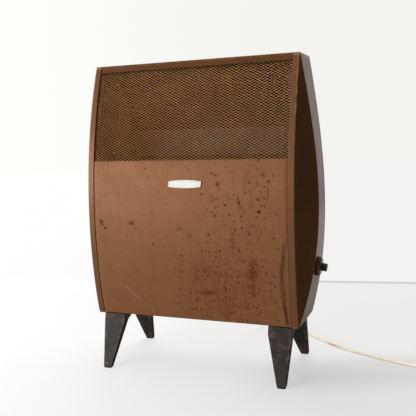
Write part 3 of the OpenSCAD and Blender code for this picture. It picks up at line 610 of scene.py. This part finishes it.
def coil_points(step=7.5):
    """Winding seen from above: clockwise, two turns inwards on the floor, up, and two outwards on top."""
    out = []
    turned = step
    while turned < 1890 - step / 2:
        inward = eased(turned, 240, 360) + eased(turned, 600, 720)
        up = eased(turned, 840, 960)
        outward = eased(turned, 1140, 1260) + eased(turned, 1500, 1620)
        r = 45.5 - 7 * inward + 7 * outward
        a = math.radians(90 - turned)
        out.append(COIL_AT + Vector((r * math.cos(a), r * math.sin(a), CORD_R + 7 * up)))
        turned += step
    return out


def curve_length(points):
    return sum((b - a).length for a, b in zip(points, points[1:]))


def make_cord():
    points = smooth_curve(CORD_ROUTE, 4) + coil_points() + smooth_curve(TAIL_ROUTE, 3)
    data = bpy.data.curves.new("mains_lead", "CURVE")
    data.dimensions = "3D"
    data.bevel_depth = 1.0             # times each point's radius, which the curve's box counts
    data.bevel_resolution = 4
    data.use_fill_caps = True
    spline = data.splines.new("POLY")
    spline.points.add(len(points) - 1)
    for p, q in zip(spline.points, points):
        p.co = (*at(*q), 1.0)
        p.radius = CORD_R * MM
    spline.use_smooth = True
    return put(data, "mains_lead"), curve_length(points) * MM


lead, lead_length = make_cord()


# ---------------------------------------------------------------- cabinet sheets
STATIONS = 72
SIDE_TOP = Z_HIGH - 0.3
GROOVE = 2.0
LIP = 5.0
EDGE_WEAR = 125                        # how far below the top a side's front edge is rubbed bright
STRETCHES, SLANT = (0, 5, 10, 15, 20), 10       # where a side's outline runs straight, and its slanting face


def side_outline(z):
    """A side panel's section from outside: lip, front strip, slanting face, flat face, rear flange."""
    yf, x, yc = front_y(z), side_x(z), crease_y(z)
    low = min(1.0, (z - Z_LOW) / 6.0)
    corner = HALF_W - 6.0 * (1 - math.sqrt(max(0.0, 1 - (1 - low) ** 2)))
    points = [(STRIP_X + GROOVE, yf + LIP), (STRIP_X + GROOVE, yf), (corner, yf), (x, yc + 0.4),
              (x, BACK_Y), (x - 18, BACK_Y)]
    return fillet(points, (0.6, 2.2, 3.2, 2.2), 4)


def side_panel(side):
    heights = [Z_LOW + (SIDE_TOP - Z_LOW) * (k / STATIONS) for k in range(STATIONS + 1)]
    heights[1:1] = [Z_LOW + d for d in (0.3, 0.8, 1.6, 2.8, 4.3)]
    verts, wear = [], []
    for z in heights:
        outline = side_outline(z)
        rows = []
        # The same number of points at every height: each stretch between two bends is divided alike
        for k in range(len(outline) - 1):
            rows.append((outline[k], False))
            p, q = outline[k], outline[k + 1]
            if k in STRETCHES:
                reach = min(1.2 / max((q - p).length, 1e-6), 0.2)
                for f in (reach, 2.5 * reach, 0.5, 1 - 2.5 * reach, 1 - reach):
                    rows.append((p.lerp(q, f), k == SLANT))
        rows.append((outline[-1], False))
        fold = Vector((HALF_W, front_y(z)))
        top = 1.0 if z > Z_HIGH - EDGE_WEAR else 0.12
        end = 0.35 if z < Z_LOW + 2 or z > Z_HIGH - 2 else 0.0
        for p, slanting in rows:
            verts.append((side * p[0], p[1], z))
            near = max(0.0, 1.0 - (p - fold).length / 2.6)
            dulled = slanting and near == 0.0
            wear.append(-1.0 if dulled else max(min(1.0, 2 * near) * top, end))
    obj = make("side_shell_right" if side > 0 else "side_shell_left", verts,
               grid(len(heights), len(rows), flip=side < 0), wear=wear)
    solid(obj, SHEET)
    return finish_piece(obj, "heater", "cabinet_enamel", STRIP,
                        ("side_panel_right" if side > 0 else "side_panel_left",))


def bowed_sheet(path, half_w, columns=48):
    """A sheet across the cabinet whose section is a path of (depth below the front's surface, z)."""
    edge = 0.7
    xs = [-half_w, -half_w + 0.35 * edge, -half_w + edge]
    xs += [-half_w + edge + (2 * half_w - 2 * edge) * k / columns for k in range(1, columns)]
    xs += [-x for x in reversed(xs[:3])]
    verts = []
    for depth, z in path:
        for x in xs:
            over = max(0.0, (abs(x) - half_w) / edge + 1)
            roll = edge * (1 - math.sqrt(max(0.0, 1 - over * over)))
            verts.append((x, front_y(z) + depth + roll, z))
    return verts, grid(len(path), len(xs)), xs


def front_sheet():
    low, top = Z_LOW + 1, GRILLE_Z - 0.3
    corners = [(9, low + 1.0), (0, low), (0, top), (5, top - 0.6)]
    bends = fillet(corners, (2.2, 2.4), 5)
    path = divided(bends, 9, lambda a, b: abs(b[1] - a[1]))
    verts, faces, xs = bowed_sheet(path, STRIP_X + 1.1)
    wear = []
    for depth, z in path:
        edge = 0.25 if (z < low + 1.5 or z > top - 1.0) else 0.0
        wear += [max(edge, 0.3 if abs(x) > STRIP_X + 0.5 else 0.0) for x in xs]
    verts = [(x + 0.6, y, z) for x, y, z in verts]     # it sits a little to the right between its seams
    obj = make("front_sheet", verts, faces, wear=wear)
    solid(obj, SHEET)
    return finish_piece(obj, "heater", "cabinet_enamel", FRONT, ("front_panel",))


def top_sheet():
    """Top plate bent down into the band above the grille and, behind, into a flange."""
    yf = front_y(Z_HIGH)
    corners = [(BACK_Y - SHEET - 0.3, Z_HIGH - 14), (BACK_Y - SHEET - 0.3, Z_HIGH - 1.0),
               (BACK_Y - 5, Z_HIGH), (yf + 2.6, Z_HIGH), (yf, Z_HIGH - 0.4), (front_y(BAND_Z), BAND_Z),
               (front_y(BAND_Z) + 4, BAND_Z + 0.5)]
    bends = fillet(corners, (0.8, 1.5, 2.2, 2.2, 1.5), 5)
    path = divided(bends, 6)
    inner = STRIP_X - 0.3
    xs = [-HALF_W, -HALF_W + 0.5, -HALF_W + 1.6, -HALF_W + 8, -inner, -inner + 0.8]
    xs += [(-inner + 0.8) + (2 * inner - 1.6) * k / 44 for k in range(1, 44)]
    right = STRIP_X + 1.5               # this end meets the strip's lip
    xs += [right - 0.8, right] + [-x for x in reversed(xs[:4])]
    verts, wear = [], []
    for y, z in path:
        for x in xs:
            drop = 0.25 * max(0.0, (abs(x) - HALF_W) / 1.6 + 1) ** 2 if abs(x) > inner else 0.0
            verts.append((x, y, z - drop))
            rub = 0.2 if y < yf + 1.5 and z > Z_HIGH - 2 else 0.15 if z < BAND_Z + 1 and y < 60 else 0.0
            wear.append(max(rub, 0.3 if abs(x) > HALF_W - 1 else 0.0))
    n = len(xs)
    faces = []
    for face in grid(len(path), n, flip=True):
        columns = [xs[v % n] for v in face]
        rows = [path[v // n] for v in face]
        on_plate = all(z > Z_HIGH - 0.05 and yf + 2.0 < y < BACK_Y - 4 for y, z in rows)
        if on_plate or (min(columns) >= -inner and max(columns) <= right):
            faces.append(face)
    used = sorted({v for face in faces for v in face})
    place = {v: k for k, v in enumerate(used)}
    obj = make("top_sheet", [verts[v] for v in used], [tuple(place[v] for v in face) for face in faces],
               wear=[wear[v] for v in used])
    solid(obj, SHEET)
    return finish_piece(obj, "heater", "cabinet_enamel", BAND, ("top_panel",))


VENT_Z = [Z_LOW + 60 + 12 * k for k in range(6)] + [Z_HIGH - 130 + 12 * k for k in range(6)]
VENT_PITCH, VENT_L, VENT_R = 76.0, 52.0, 2.5
LIP_RINGS = ((2.6, 0.0), (2.1, 0.25), (1.5, 0.8), (0.9, 1.1), (0.4, 1.0), (0.08, 0.5), (0.0, -0.2),
             (0.0, -SHEET))                # growth and height of a vent's lip
RIM_RINGS = ((0.6, 0.0), (0.25, 0.15), (0.0, 0.5), (0.0, SHEET))          # inset and depth of the back's rim


def slot_ring(cx, cz, grow, steps=6):
    """Round-ended outline of a vent, grown by some amount."""
    r, half = VENT_R + grow, VENT_L / 2
    ring = []
    for side, start in ((1, -90), (-1, 90)):
        for k in range(steps + 1):
            a = math.radians(start + 180 * k / steps)
            ring.append((cx + side * half + r * math.cos(a), cz + r * math.sin(a)))
    return ring


def back_sheet():
    """Flat back plate with a rolled rim and rows of vents, each in a lip that is pressed outwards."""
    heights = [Z_LOW + 1 + (CAB_H - 2) * k / STATIONS for k in range(STATIONS + 1)]

    def rim(inset):
        low, high = heights[0] + inset, heights[-1] - inset
        right = [(side_x(z) - 0.8 - inset, min(max(z, low), high)) for z in heights]
        return right + [(-x, z) for x, z in reversed(right)]

    vents = [(k * VENT_PITCH, z) for z in VENT_Z for k in range(-2, 3)]
    verts, faces = [], []

    def ring_faces(a, b, n):
        return [(a + k, a + (k + 1) % n, b + (k + 1) % n, b + k) for k in range(n)]

    def plate(loops, y, flip):
        """Fills the outline, less the vents and the cord's hole, with triangles."""
        points = [Vector(p) for loop in loops for p in loop]
        edges, base = [], 0
        for loop in loops:
            edges += [(base + k, base + (k + 1) % len(loop)) for k in range(len(loop))]
            base += len(loop)
        out = delaunay_2d_cdt(points, edges, [], 1, 1e-4)
        first = len(verts)
        verts.extend((p.x, y, p.y) for p in out[0])
        for tri in out[2]:
            mid = sum((out[0][k] for k in tri), Vector((0, 0))) / 3
            if not any(inside(mid, loop) for loop in loops[1:]):
                faces.append(tuple(first + k for k in (tri if flip else reversed(tri))))

    def inside(p, loop):
        x0, x1 = min(q[0] for q in loop), max(q[0] for q in loop)
        z0, z1 = min(q[1] for q in loop), max(q[1] for q in loop)
        if not (x0 < p.x < x1 and z0 < p.y < z1):
            return False
        hit = False
        for (ax, az), (bx, bz) in zip(loop, loop[1:] + loop[:1]):
            if (az > p.y) != (bz > p.y) and p.x < ax + (p.y - az) / (bz - az) * (bx - ax):
                hit = not hit
        return hit

    def round_hole(cx, cz, r):
        return [(cx + x, cz + z) for x, z in circle(r, 24)]

    holes = [round_hole(40, 170, 6.0)]
    for k in range(4):
        z = Z_LOW + 35 + k * (CAB_H - 70) / 3
        holes += [round_hole(side * (side_x(z) - 9), z, 2.0) for side in (-1, 1)]
    plate([rim(0.6)] + [slot_ring(x, z, LIP_RINGS[0][0]) for x, z in vents] + holes, CAB_D, True)
    plate([rim(0.0)] + [slot_ring(x, z, 0.0) for x, z in vents] + holes, BACK_Y, False)
    for x, z in vents:
        starts = []
        for grow, proud in LIP_RINGS:
            starts.append(len(verts))
            ring = slot_ring(x, z, grow)
            verts.extend((px, CAB_D + proud, pz) for px, pz in ring)
        for a, b in zip(starts, starts[1:]):
            faces.extend(ring_faces(a, b, len(ring)))
    starts = []
    for inset, depth in RIM_RINGS:
        starts.append(len(verts))
        loop = rim(inset)
        verts.extend((px, CAB_D - depth, pz) for px, pz in loop)
    for a, b in zip(starts, starts[1:]):
        faces.extend(ring_faces(b, a, len(loop)))
    for hole in holes:
        faces.extend(ring_faces(len(verts), len(verts) + len(hole), len(hole)))
        verts.extend((px, y, pz) for y in (CAB_D, BACK_Y) for px, pz in hole)
    obj = make("back_sheet", verts, faces)
    face_outwards(obj, merge=1e-6)
    finish_piece(obj, "heater", "cabinet_enamel", REAR, ("back_panel",))
    # the face toward the inside gets the near-black painted shade
    obj.data.materials.append(INSIDE_SHADE)
    for poly in obj.data.polygons:
        poly.use_smooth = abs(poly.normal.y) < 0.999
        poly.material_index = int(poly.normal.y < -0.5)
    return obj


for side in (-1, 1):
    side_panel(side)
front_sheet()
top_sheet()
back_sheet()


# ---------------------------------------------------------------- expanded-metal grille
CELL_W, CELL_H = 10.77, 5.735
MESH_DEPTH = 3.4


def grille():
    """Zigzag strands, each tilted to face up and forwards, that touch the next one at their knuckles."""
    x_end, low, high = STRIP_X + 7, GRILLE_Z - 6, BAND_Z + 6
    rows = int((high - low) / (CELL_H / 2))
    knuckle, reach = 0.085 * CELL_W, 0.42
    tilt = math.radians(36)
    broad, thick = 0.27, 0.15
    offsets = []
    for b, t in ((-broad, -thick), (-broad, thick), (broad, thick), (broad, -thick)):
        offsets.append((b * math.sin(tilt) + t * math.cos(tilt), b * math.cos(tilt) - t * math.sin(tilt)))
    steps = int(2 * x_end / (CELL_W / 2))
    verts, faces, wear = [], [], []
    for row in range(rows):
        z_mid = low + (row + 0.5) * CELL_H / 2
        swing = CELL_H / 4 - reach
        start = len(verts)
        rings = 0
        for k in range(steps + 1):
            x = (k - steps / 2) * CELL_W / 2
            up = 1 if (k + row) % 2 else -1
            for dx in (-knuckle, knuckle):
                z = z_mid + up * swing
                y = front_y(z, MESH_DEPTH)
                for dy, dz in offsets:
                    verts.append((x + dx, y + dy, z + dz))
                # painted highlight: these corners are made lighter, most at each strand's upper bend
                wear += [1.0, 0.2, 0.0, 0.6] if up > 0 else [0.6, 0.0, 0.0, 0.3]
                rings += 1
        faces += grid(rings, 4, start, closed=True)
        last = start + (rings - 1) * 4
        faces += [(start, start + 1, start + 2, start + 3), (last + 3, last + 2, last + 1, last)]
    obj = make("expanded_grille", verts, faces, smooth=False, wear=wear)
    return finish_piece(obj, "heater", "grille_metal", None, ("grille_mesh",))


grille()


# ---------------------------------------------------------------- badge
BADGE_Z, BADGE_W, BADGE_H, BADGE_SWELL = Z_LOW + 306, 80.0, 19.5, 3.0


def badge():
    """Straight ends, arcs above and below; layers of (inset, height) from its edge at the foot, painted dark
    as shade, to its field.
    """
    layers = ((0.0, 0.1), (0.0, 0.5), (0.3, 0.75), (0.75, 0.8), (0.8, 1.8), (1.0, 2.25), (1.4, 2.4),
              (2.1, 2.4), (2.5, 2.2), (2.7, 1.7))
    half_w, half_h, corner, steps = BADGE_W / 2, BADGE_H / 2, 1.8, 28
    arc_r = (half_w ** 2 + BADGE_SWELL ** 2) / (2 * BADGE_SWELL)
    verts, wear = [], []
    for inset, proud in layers:
        ring = []
        end_x = half_w - inset - corner
        arc_z = half_h - arc_r - inset
        for sign in (1, -1):
            for k in range(steps + 1):
                x = end_x * (2 * k / steps - 1)
                ring.append((sign * x, sign * (arc_z + math.sqrt(arc_r ** 2 - x * x))))
            end_z = arc_z + math.sqrt(arc_r ** 2 - end_x ** 2) - corner
            for a in (60, 30, 0):
                ring.append((sign * (end_x + corner * math.cos(math.radians(a))),
                             sign * (end_z + corner * math.sin(math.radians(a)))))
        for x, z in ring:
            verts.append((x, front_y(BADGE_Z + z) - proud, BADGE_Z + z))
            # the lowest layers are marked for painted shade, the top ones for the lighter rim
            wear.append(-1.0 if proud < 0.9 else 0.0 if proud < 2.0 else 1.0)
    n = len(ring)
    faces = grid(len(layers), n, closed=True)
    faces.append(tuple(range((len(layers) - 1) * n, len(layers) * n)))
    obj = make("badge", verts, faces, wear=wear)
    obj.data.polygons[-1].use_smooth = False
    return finish_piece(obj, "heater", "badge", None, ("badge_plate",))


badge()


# ---------------------------------------------------------------- legs
LEG_IN, LEG_OUT, LEG_BLOCK, LEG_HEEL, LEG_THICK = 173.0, 226.0, 17.0, 58.0, 20.0
GLIDE_H, FOOT_W, GLIDE_Y, LEG_START = 3.0, 20.0, 12.0, 2.0
FOOT_X, FOOT_FRONT, FOOT_REAR = 208.0, 24.0, 54.0


def leg(name, side, rear):
    """A block under the cabinet whose outer half runs down and out to a small foot."""
    kick = FOOT_REAR if rear else FOOT_FRONT
    top = LEG_H - 0.2
    slope = (kick + LEG_START) / LEG_H
    at_knee = LEG_START - slope * LEG_BLOCK
    levels = [(top, LEG_IN, LEG_OUT, LEG_START, LEG_HEEL)]
    knee_z = LEG_H - LEG_BLOCK
    knee = (LEG_IN, LEG_OUT - 0.5, at_knee, at_knee + LEG_THICK)
    foot = (FOOT_X - FOOT_W / 2, FOOT_X + FOOT_W / 2, -kick - GLIDE_Y / 2, -kick + GLIDE_Y / 2)
    for f in (0.33, 0.66):
        levels.append((top + (knee_z - top) * f, *(a + (b - a) * f for a, b in zip(levels[0][1:], knee))))
    for k in range(13):
        f = k / 12
        levels.append((knee_z + (GLIDE_H - knee_z) * f, *(a + (b - a) * f for a, b in zip(knee, foot))))
    verts, wear = [], []
    per = 6
    for z, x1, x2, y1, y2 in levels:
        ring = [(x1 + (x2 - x1) * k / per, y1) for k in range(per)]
        ring += [(x2, y1 + (y2 - y1) * k / per) for k in range(per)]
        ring += [(x2 - (x2 - x1) * k / per, y2) for k in range(per)]
        ring += [(x1, y2 - (y2 - y1) * k / per) for k in range(per)]
        for k, (x, y) in enumerate(ring):
            verts.append((side * x, CAB_D - y if rear else y, z))
            wear.append(1.0 if k % per == 0 else 0.5 if rear and z < 22 else 0.12)
    n = 4 * per
    faces = grid(len(levels), n, closed=True, flip=(side > 0) == rear)
    faces.append(tuple(range(n)))
    faces.append(tuple(range(len(levels) * n - 1, (len(levels) - 1) * n - 1, -1)))
    obj = make(name, verts, faces, smooth=False, wear=wear)
    face_outwards(obj)
    bevel(obj, 1.6, 3, 35)
    for poly in obj.data.polygons:
        poly.use_smooth = True
    return finish_piece(obj, "heater", "leg_wood", None, (name.replace("tapered_", ""),))


for side, hand in ((-1, "left"), (1, "right")):
    for rear, end in ((False, "front"), (True, "rear")):
        leg(f"tapered_leg_{end}_{hand}", side, rear)


# ---------------------------------------------------------------- heat switch
SWITCH_Z = Z_LOW + 118
SWITCH_AT = (side_x(SWITCH_Z), 84.0, SWITCH_Z)
SWITCH_TILT = math.atan((side_x(SWITCH_Z + 1) - side_x(SWITCH_Z - 1)) / 2)
BOSS_R, BOSS_H, KNOB_R, KNOB_H, SHAFT_R = 21.0, 9.5, 9.5, 11.5, 3.0
SWITCH_PLACE = Matrix.Translation(at(*SWITCH_AT)) @ Matrix.Rotation(math.pi / 2 + SWITCH_TILT, 4, "Y")


def arc_profile(cx, cy, r, start, end, steps):
    return [(cx + r * math.cos(math.radians(start + (end - start) * k / steps)),
             cy + r * math.sin(math.radians(start + (end - start) * k / steps))) for k in range(steps + 1)]


def boss():
    round_r, lip = 5.0, 0.7
    profile = [(5.1, 0.15), (BOSS_R - 0.4, 0.15), (BOSS_R, 0.5)]
    profile += arc_profile(BOSS_R - round_r, BOSS_H - round_r, round_r, 0, 90, 12)
    profile += [(13.2, BOSS_H), (12.9, BOSS_H - 0.15), (12.4, BOSS_H - 0.15), (12.1, BOSS_H)]
    profile += arc_profile(8.6 + lip, BOSS_H - lip, lip, 90, 180, 5)
    profile += [(8.6, 6.9), (8.2, 6.35), (5.1, 6.3), (5.1, 0.15)]
    obj = revolve("heat_switch_boss", profile, SWITCH_PLACE, 128)
    return finish_piece(obj, "heater", "boss_plastic", None, ("switch_boss",))


def knob():
    """Fluted grip on a plain skirt, with a pointer groove from its middle to its edge."""
    z0, grip = BOSS_H + 0.6, KNOB_R - 0.9
    sides, flutes = 288, 18
    layers = [                         # radius, height, how deep the flutes are
        (KNOB_R - 0.5, 0.0, 0), (KNOB_R - 0.1, 0.15, 0), (KNOB_R, 0.5, 0), (KNOB_R, 1.6, 0),
        (KNOB_R - 0.15, 2.0, 0), (grip + 0.3, 2.2, 0), (grip, 2.5, 1), (grip, 5, 1), (grip - 0.05, 8, 1),
        (grip - 0.1, 10.2, 1), (grip - 0.3, 10.9, 1), (grip - 0.8, 11.35, 0.8), (grip - 1.5, 11.5, 0.4),
        (grip - 2.4, 11.5, 0), (grip - 2.7, 11.38, 0), (4.2, 11.25, 0), (1.4, 11.2, 0), (0.7, 11.2, 0)]
    verts = []
    for r, h, fluted in layers:
        for k in range(sides):
            a = 2 * math.pi * k / sides
            phase = (k * flutes / sides) % 1.0
            dip = max(0.0, 1 - ((phase - 0.5) / 0.26) ** 2)
            rr = r - 0.62 * fluted * math.sqrt(dip)
            x, y = rr * math.cos(a), rr * math.sin(a)
            groove = 0.7 * max(0.0, 1 - (abs(x) / 0.75) ** 4) if h > 10.5 and y > 0.4 else 0.0
            verts.append(SWITCH_PLACE @ (Vector((x, y, z0 + h - groove)) * MM))
    n = len(layers)
    faces = grid(n, sides, closed=True)
    faces.append(tuple(range((n - 1) * sides, n * sides)))
    inner = len(verts)
    for h in (0.0, 8.3):
        verts += [SWITCH_PLACE @ (Vector((x, y, z0 + h)) * MM) for x, y in circle(SHAFT_R + 0.02, sides)]
    faces += grid(2, sides, inner, closed=True, flip=True)
    faces += [(k, inner + k, inner + (k + 1) % sides, (k + 1) % sides) for k in range(sides)]
    faces.append(tuple(range(inner + 2 * sides - 1, inner + sides - 1, -1)))
    obj = make("heat_knob", verts, faces, raw=True)
    return finish_piece(obj, "knob", "knob_plastic", None, ("control_knob",))


boss()
knob()


# ---------------------------------------------------------------- cord's pieces
def cord_boot():
    """Tapered rubber sleeve with raised rings, held in the back panel by its flange."""
    place = Matrix.Translation(at(40, CAB_D, 170)) @ Matrix.Rotation(-math.pi / 2, 4, "X")
    profile = [(3.5, -8.0), (6.0, -8.0), (6.0, 0.05), (9.1, 0.05), (9.5, 0.5), (9.5, 2.4),
               (9.0, 3.0), (8.0, 3.1)]
    ribs, first, pitch = 7, 6.0, 4.6
    for k in range(ribs):
        h = first + k * pitch
        r = 7.5 - (7.5 - 4.5) * (h - 3) / 37
        profile += [(r - 0.75, h - 1.2), (r - 0.75, h - 0.5), (r - 0.5, h - 0.2), (r, h), (r, h + 1.5),
                    (r - 0.25, h + 1.9), (r - 0.75, h + 2.1)]
    profile += [(4.4, 38.4), (4.4, 39.4), (4.1, 40.0), (3.5, 40.0), (3.5, -8.0)]
    obj = revolve("cord_boot", profile, place, 64)
    return finish_piece(obj, "heater", "cord_sheath", None, ("strain_relief",))


def moulded_plug():
    """Flat-sided plug with a waist, finger ribs and a ribbed tail for the cord."""
    origin = Vector((573, 70, 10))
    sections = [(0.0, 5.6, 5.6), (0.6, 6.0, 6.0), (3.0, 6.0, 6.0), (3.4, 5.2, 5.2), (4.4, 5.2, 5.2),
                (4.8, 6.2, 6.1), (6.6, 6.6, 6.3), (7.0, 5.8, 5.5), (8.0, 6.2, 5.6), (8.5, 7.6, 6.6),
                (12, 10.2, 7.6), (17, 13.0, 8.7), (20, 13.9, 9.2), (20.5, 13.3, 8.6), (21.4, 13.4, 8.7),
                (21.9, 14.6, 9.4), (23.4, 14.9, 9.5), (23.9, 14.1, 8.8), (24.8, 14.2, 8.9), (25.3, 15.4, 9.6),
                (27, 16.1, 9.8), (29, 16.7, 9.9), (34, 17.0, 10.0), (37.0, 17.0, 10.0), (37.7, 16.6, 9.6),
                (38, 15.9, 8.9)]
    sides, power = 64, 0.62
    verts = []
    for h, a, b in sections:
        for k in range(sides):
            t = 2 * math.pi * k / sides
            c, s = math.cos(t), math.sin(t)
            x = a * math.copysign(abs(c) ** power, c)
            z = b * math.copysign(abs(s) ** power, s)
            verts.append((origin.x + x, origin.y - h, origin.z + max(z, -9.98)))
    n = len(sections)
    faces = grid(n, sides, closed=True, flip=True)
    faces.append(tuple(range(sides)))
    faces.append(tuple(range(n * sides - 1, (n - 1) * sides - 1, -1)))
    obj = make("moulded_plug", verts, faces)
    bevel(obj, 0.3, 2, 40)
    return finish_piece(obj, "heater", "plug_plastic", None, ("plug_body",))


def contact_pins():
    """Two round pins with tapered ends."""
    verts, faces, sides = [], [], 32
    profile = [(2.0, 0.0), (2.0, 16.6), (1.85, 17.7), (1.4, 18.5), (0.7, 18.95), (0.0, 19.0)]
    for side in (-1, 1):
        start = len(verts)
        for r, h in profile:
            verts += [(573 + side * 9.5 + x, 32 - h, 10 + z) for x, z in circle(r, sides)]
        faces += grid(len(profile), sides, start, closed=True, flip=True)
        faces.append(tuple(range(start, start + sides)))
    obj = make("contact_pins", verts, faces)
    return finish_piece(obj, "heater", "brass", None, ("plug_pins",))


def coil_tie():
    """Woven strap folded over the coil's turns."""
    width, y_in, y_out, top = 8.0, -1.0, 22.0, 14.0
    y0 = COIL_AT.y - 38.5 - 11
    y1, y2 = y0 + y_in + 0.5, y0 + y_out + 0.5
    corners = [(y1, 0.6), (y1, top + 0.5), (y2, top + 0.5), (y2, 0.6)]
    bends = fillet(corners, (2.5, 2.5), 6)
    path = divided(bends, 2)
    xs = [COIL_AT.x - width / 2 + width * k / 8 for k in range(9)]
    verts = [(x, y, z) for y, z in path for x in xs]
    obj = make("coil_strap", verts, grid(len(path), len(xs)))
    solid(obj, 0.9, offset=0.0)
    bevel(obj, 0.25, 2, 50)
    return finish_piece(obj, "heater", SLOT_OF["cord_tie"], TIE, ("cord_tie",))


boot, plug, pins, strap = cord_boot(), moulded_plug(), contact_pins(), coil_tie()
finish_piece(lead, "heater", "cord_sheath", None, ("mains_cord", "mains_cord_coil", "mains_cord_tail"))


# ---------------------------------------------------------------- carried CAD nodes
def dress_nodes():
    for name, obj in nodes.items():
        slot = SLOT_OF[name]
        if obj.data.materials:
            obj.material_slots[0].material = MATERIALS[slot]
        else:
            obj.data.materials.append(MATERIALS[slot])
        # the base plate's upper face, inside the cabinet, gets the near-black painted shade
        if name == "base_plate":
            obj.data.materials.append(INSIDE_SHADE)
            for poly in obj.data.polygons:
                poly.material_index = int(poly.normal.z > 0.5)


dress_nodes()


# ---------------------------------------------------------------- floor, light and surroundings
WALL_AT = 2.26                         # distance of the wall's foot from the camera, on the floor
SHADOW_AT = 1.34                       # distance of the heater's soft shadow, at the right
WALL_TURN = 0.2                        # how much nearer the wall is for each metre to the right
WALL_LEFT, WALL_RIGHT = 1.0, 0.895     # how bright the wall looks at its ends
NEAR_LEFT, NEAR_RIGHT = 1.28, 1.02     # the same for the floor
BOUNCE = (0.34, 0.34, 0.34)            # what the floor gives back to the object
BOUNCE_BEHIND = (0.80, 0.80, 0.79)
FLOOR_GLOW = 0.62                      # share of even white in what is seen of the floor
FLOOR_REACH = 7.0                      # half the floor's width
FILL, BACK_WALL = 0.5, 0.45            # brightness of the room, and of the wall that the back mirrors
WINDOW, CEILING = 134, 50              # watts


def floor():
    """Pale floor; past the wall's foot it has the wall's own even tone, so that no wall hides the back."""
    mesh = bpy.data.meshes.new("floor")
    corners = [(x * FLOOR_REACH, y * FLOOR_REACH, 0) for x, y in ((-1, -1), (1, -1), (1, 1), (-1, 1))]
    mesh.from_pydata(corners, [], [(0, 1, 2, 3)])
    obj = put(mesh, "floor")
    s = Shade("floor_paint")
    tone = s.mix(s.ranged(s.noise(3.0, 3.0), 0.3, 0.7), (0.60, 0.60, 0.615), (0.64, 0.64, 0.65))
    along = s.sub(s.dot(s.coords, ALONG), Vector((*EYE.xy, 0.0)).dot(Vector(ALONG)))
    aside = s.dot(s.coords, ASIDE)
    wall = s.add(along, s.mul(aside, WALL_TURN))
    # painted shade: a faint dark line on the floor where the wall's foot would be, on the right
    foot = s.mul(s.near(wall, WALL_AT, 0.020, 0.006), s.ranged(aside, 0.1, 0.4))
    tone = s.mix(foot, tone, (0.42, 0.42, 0.43))
    seen = s.seen()
    bounce = s.mix(s.ranged(s.y, 0.15, 0.55), BOUNCE, BOUNCE_BEHIND)
    s.set(Base_Color=s.mix(seen, bounce, tone), Roughness=0.6)
    far = s.ranged(wall, WALL_AT, WALL_AT + 0.01)
    white = s.ranged(far, 0.0, 1.0, s.ranged(aside, -0.9, 0.3, NEAR_LEFT, NEAR_RIGHT),
                     s.ranged(aside, -0.9, 0.3, WALL_LEFT, WALL_RIGHT))
    shadow = s.add(s.near(along, SHADOW_AT, 0.13, 0.03, 0.14),
                   s.ranged(along, SHADOW_AT + 0.16, SHADOW_AT - 0.04, 0.0, 0.12))
    reach = s.mul(s.ranged(aside, 0.02, 0.30), s.ranged(aside, 0.95, 0.50))
    shadow = s.mul(shadow, reach, s.ranged(along, 0.75, 1.10))
    # the painted shadow and the painted shade at the wall's foot darken the seen floor
    white = s.mul(white, s.sub(1.0, s.most(shadow, s.mul(foot, 0.28))))
    mirrored = s.ranged(s.x, 1.2, 2.6, 1.0, 0.05)
    strength = s.add(s.mul(seen, white), s.mul(s.sub(1.0, seen), mirrored))
    glow = s.new("ShaderNodeEmission", {"Color": (1.0, 0.995, 0.985), "Strength": strength})
    share = s.most(s.mul(seen, FLOOR_GLOW), far)
    join = s.new("ShaderNodeMixShader", {0: share, 1: s.bsdf.outputs[0], 2: glow.outputs[0]})
    s.feed(s.out.inputs[0], join.outputs[0])
    obj.data.materials.append(s.mat)


def soft_light(name, place, target, size, power, colour=(1, 1, 1)):
    data = bpy.data.lights.new(name, "AREA")
    data.shape = "RECTANGLE"
    data.size, data.size_y = size
    data.energy = power
    data.color = colour
    obj = bpy.data.objects.new(name, data)
    bpy.context.collection.objects.link(obj)
    obj.location = place
    aim = Vector(target) - Vector(place)
    obj.rotation_euler = aim.to_track_quat("-Z", "Y").to_euler()


def surroundings():
    """A white room. The heater's right-hand side mirrors a darker part of it, its back a bright one."""
    world = bpy.data.worlds.new("room")
    bpy.context.scene.world = world
    s = Nodes(world, "Generated")
    dark_side = math.radians(-12)
    shade = s.dot(s.coords, (math.cos(dark_side), math.sin(dark_side), 0.0))
    lit = s.ranged(shade, 0.12, 0.50, FILL, 0.01)
    back = s.ranged(s.dot(s.coords, (0.1, 0.995, 0.0)), 0.6, 0.95, 0.0, BACK_WALL)
    wall = s.ranged(s.dot(s.coords, ASIDE), -0.35, 0.12, WALL_LEFT, WALL_RIGHT)
    strength = s.new("ShaderNodeMix", {0: s.seen(), 2: s.add(lit, back), 3: wall}).outputs[0]
    ground = s.new("ShaderNodeBackground", {"Color": (1.0, 0.996, 0.970), "Strength": strength})
    s.new("ShaderNodeOutputWorld", {0: ground.outputs[0]})


floor()
surroundings()
soft_light("window", (-2.5, -3.3, 0.95), (0.0, 0.0, 0.4), (2.4, 1.5), WINDOW, (1.0, 0.98, 0.95))
soft_light("ceiling", (-0.5, 0.7, 2.7), (-0.1, 0.4, 0.0), (3.0, 2.2), CEILING)
bpy.context.scene.view_settings.view_transform = "Standard"
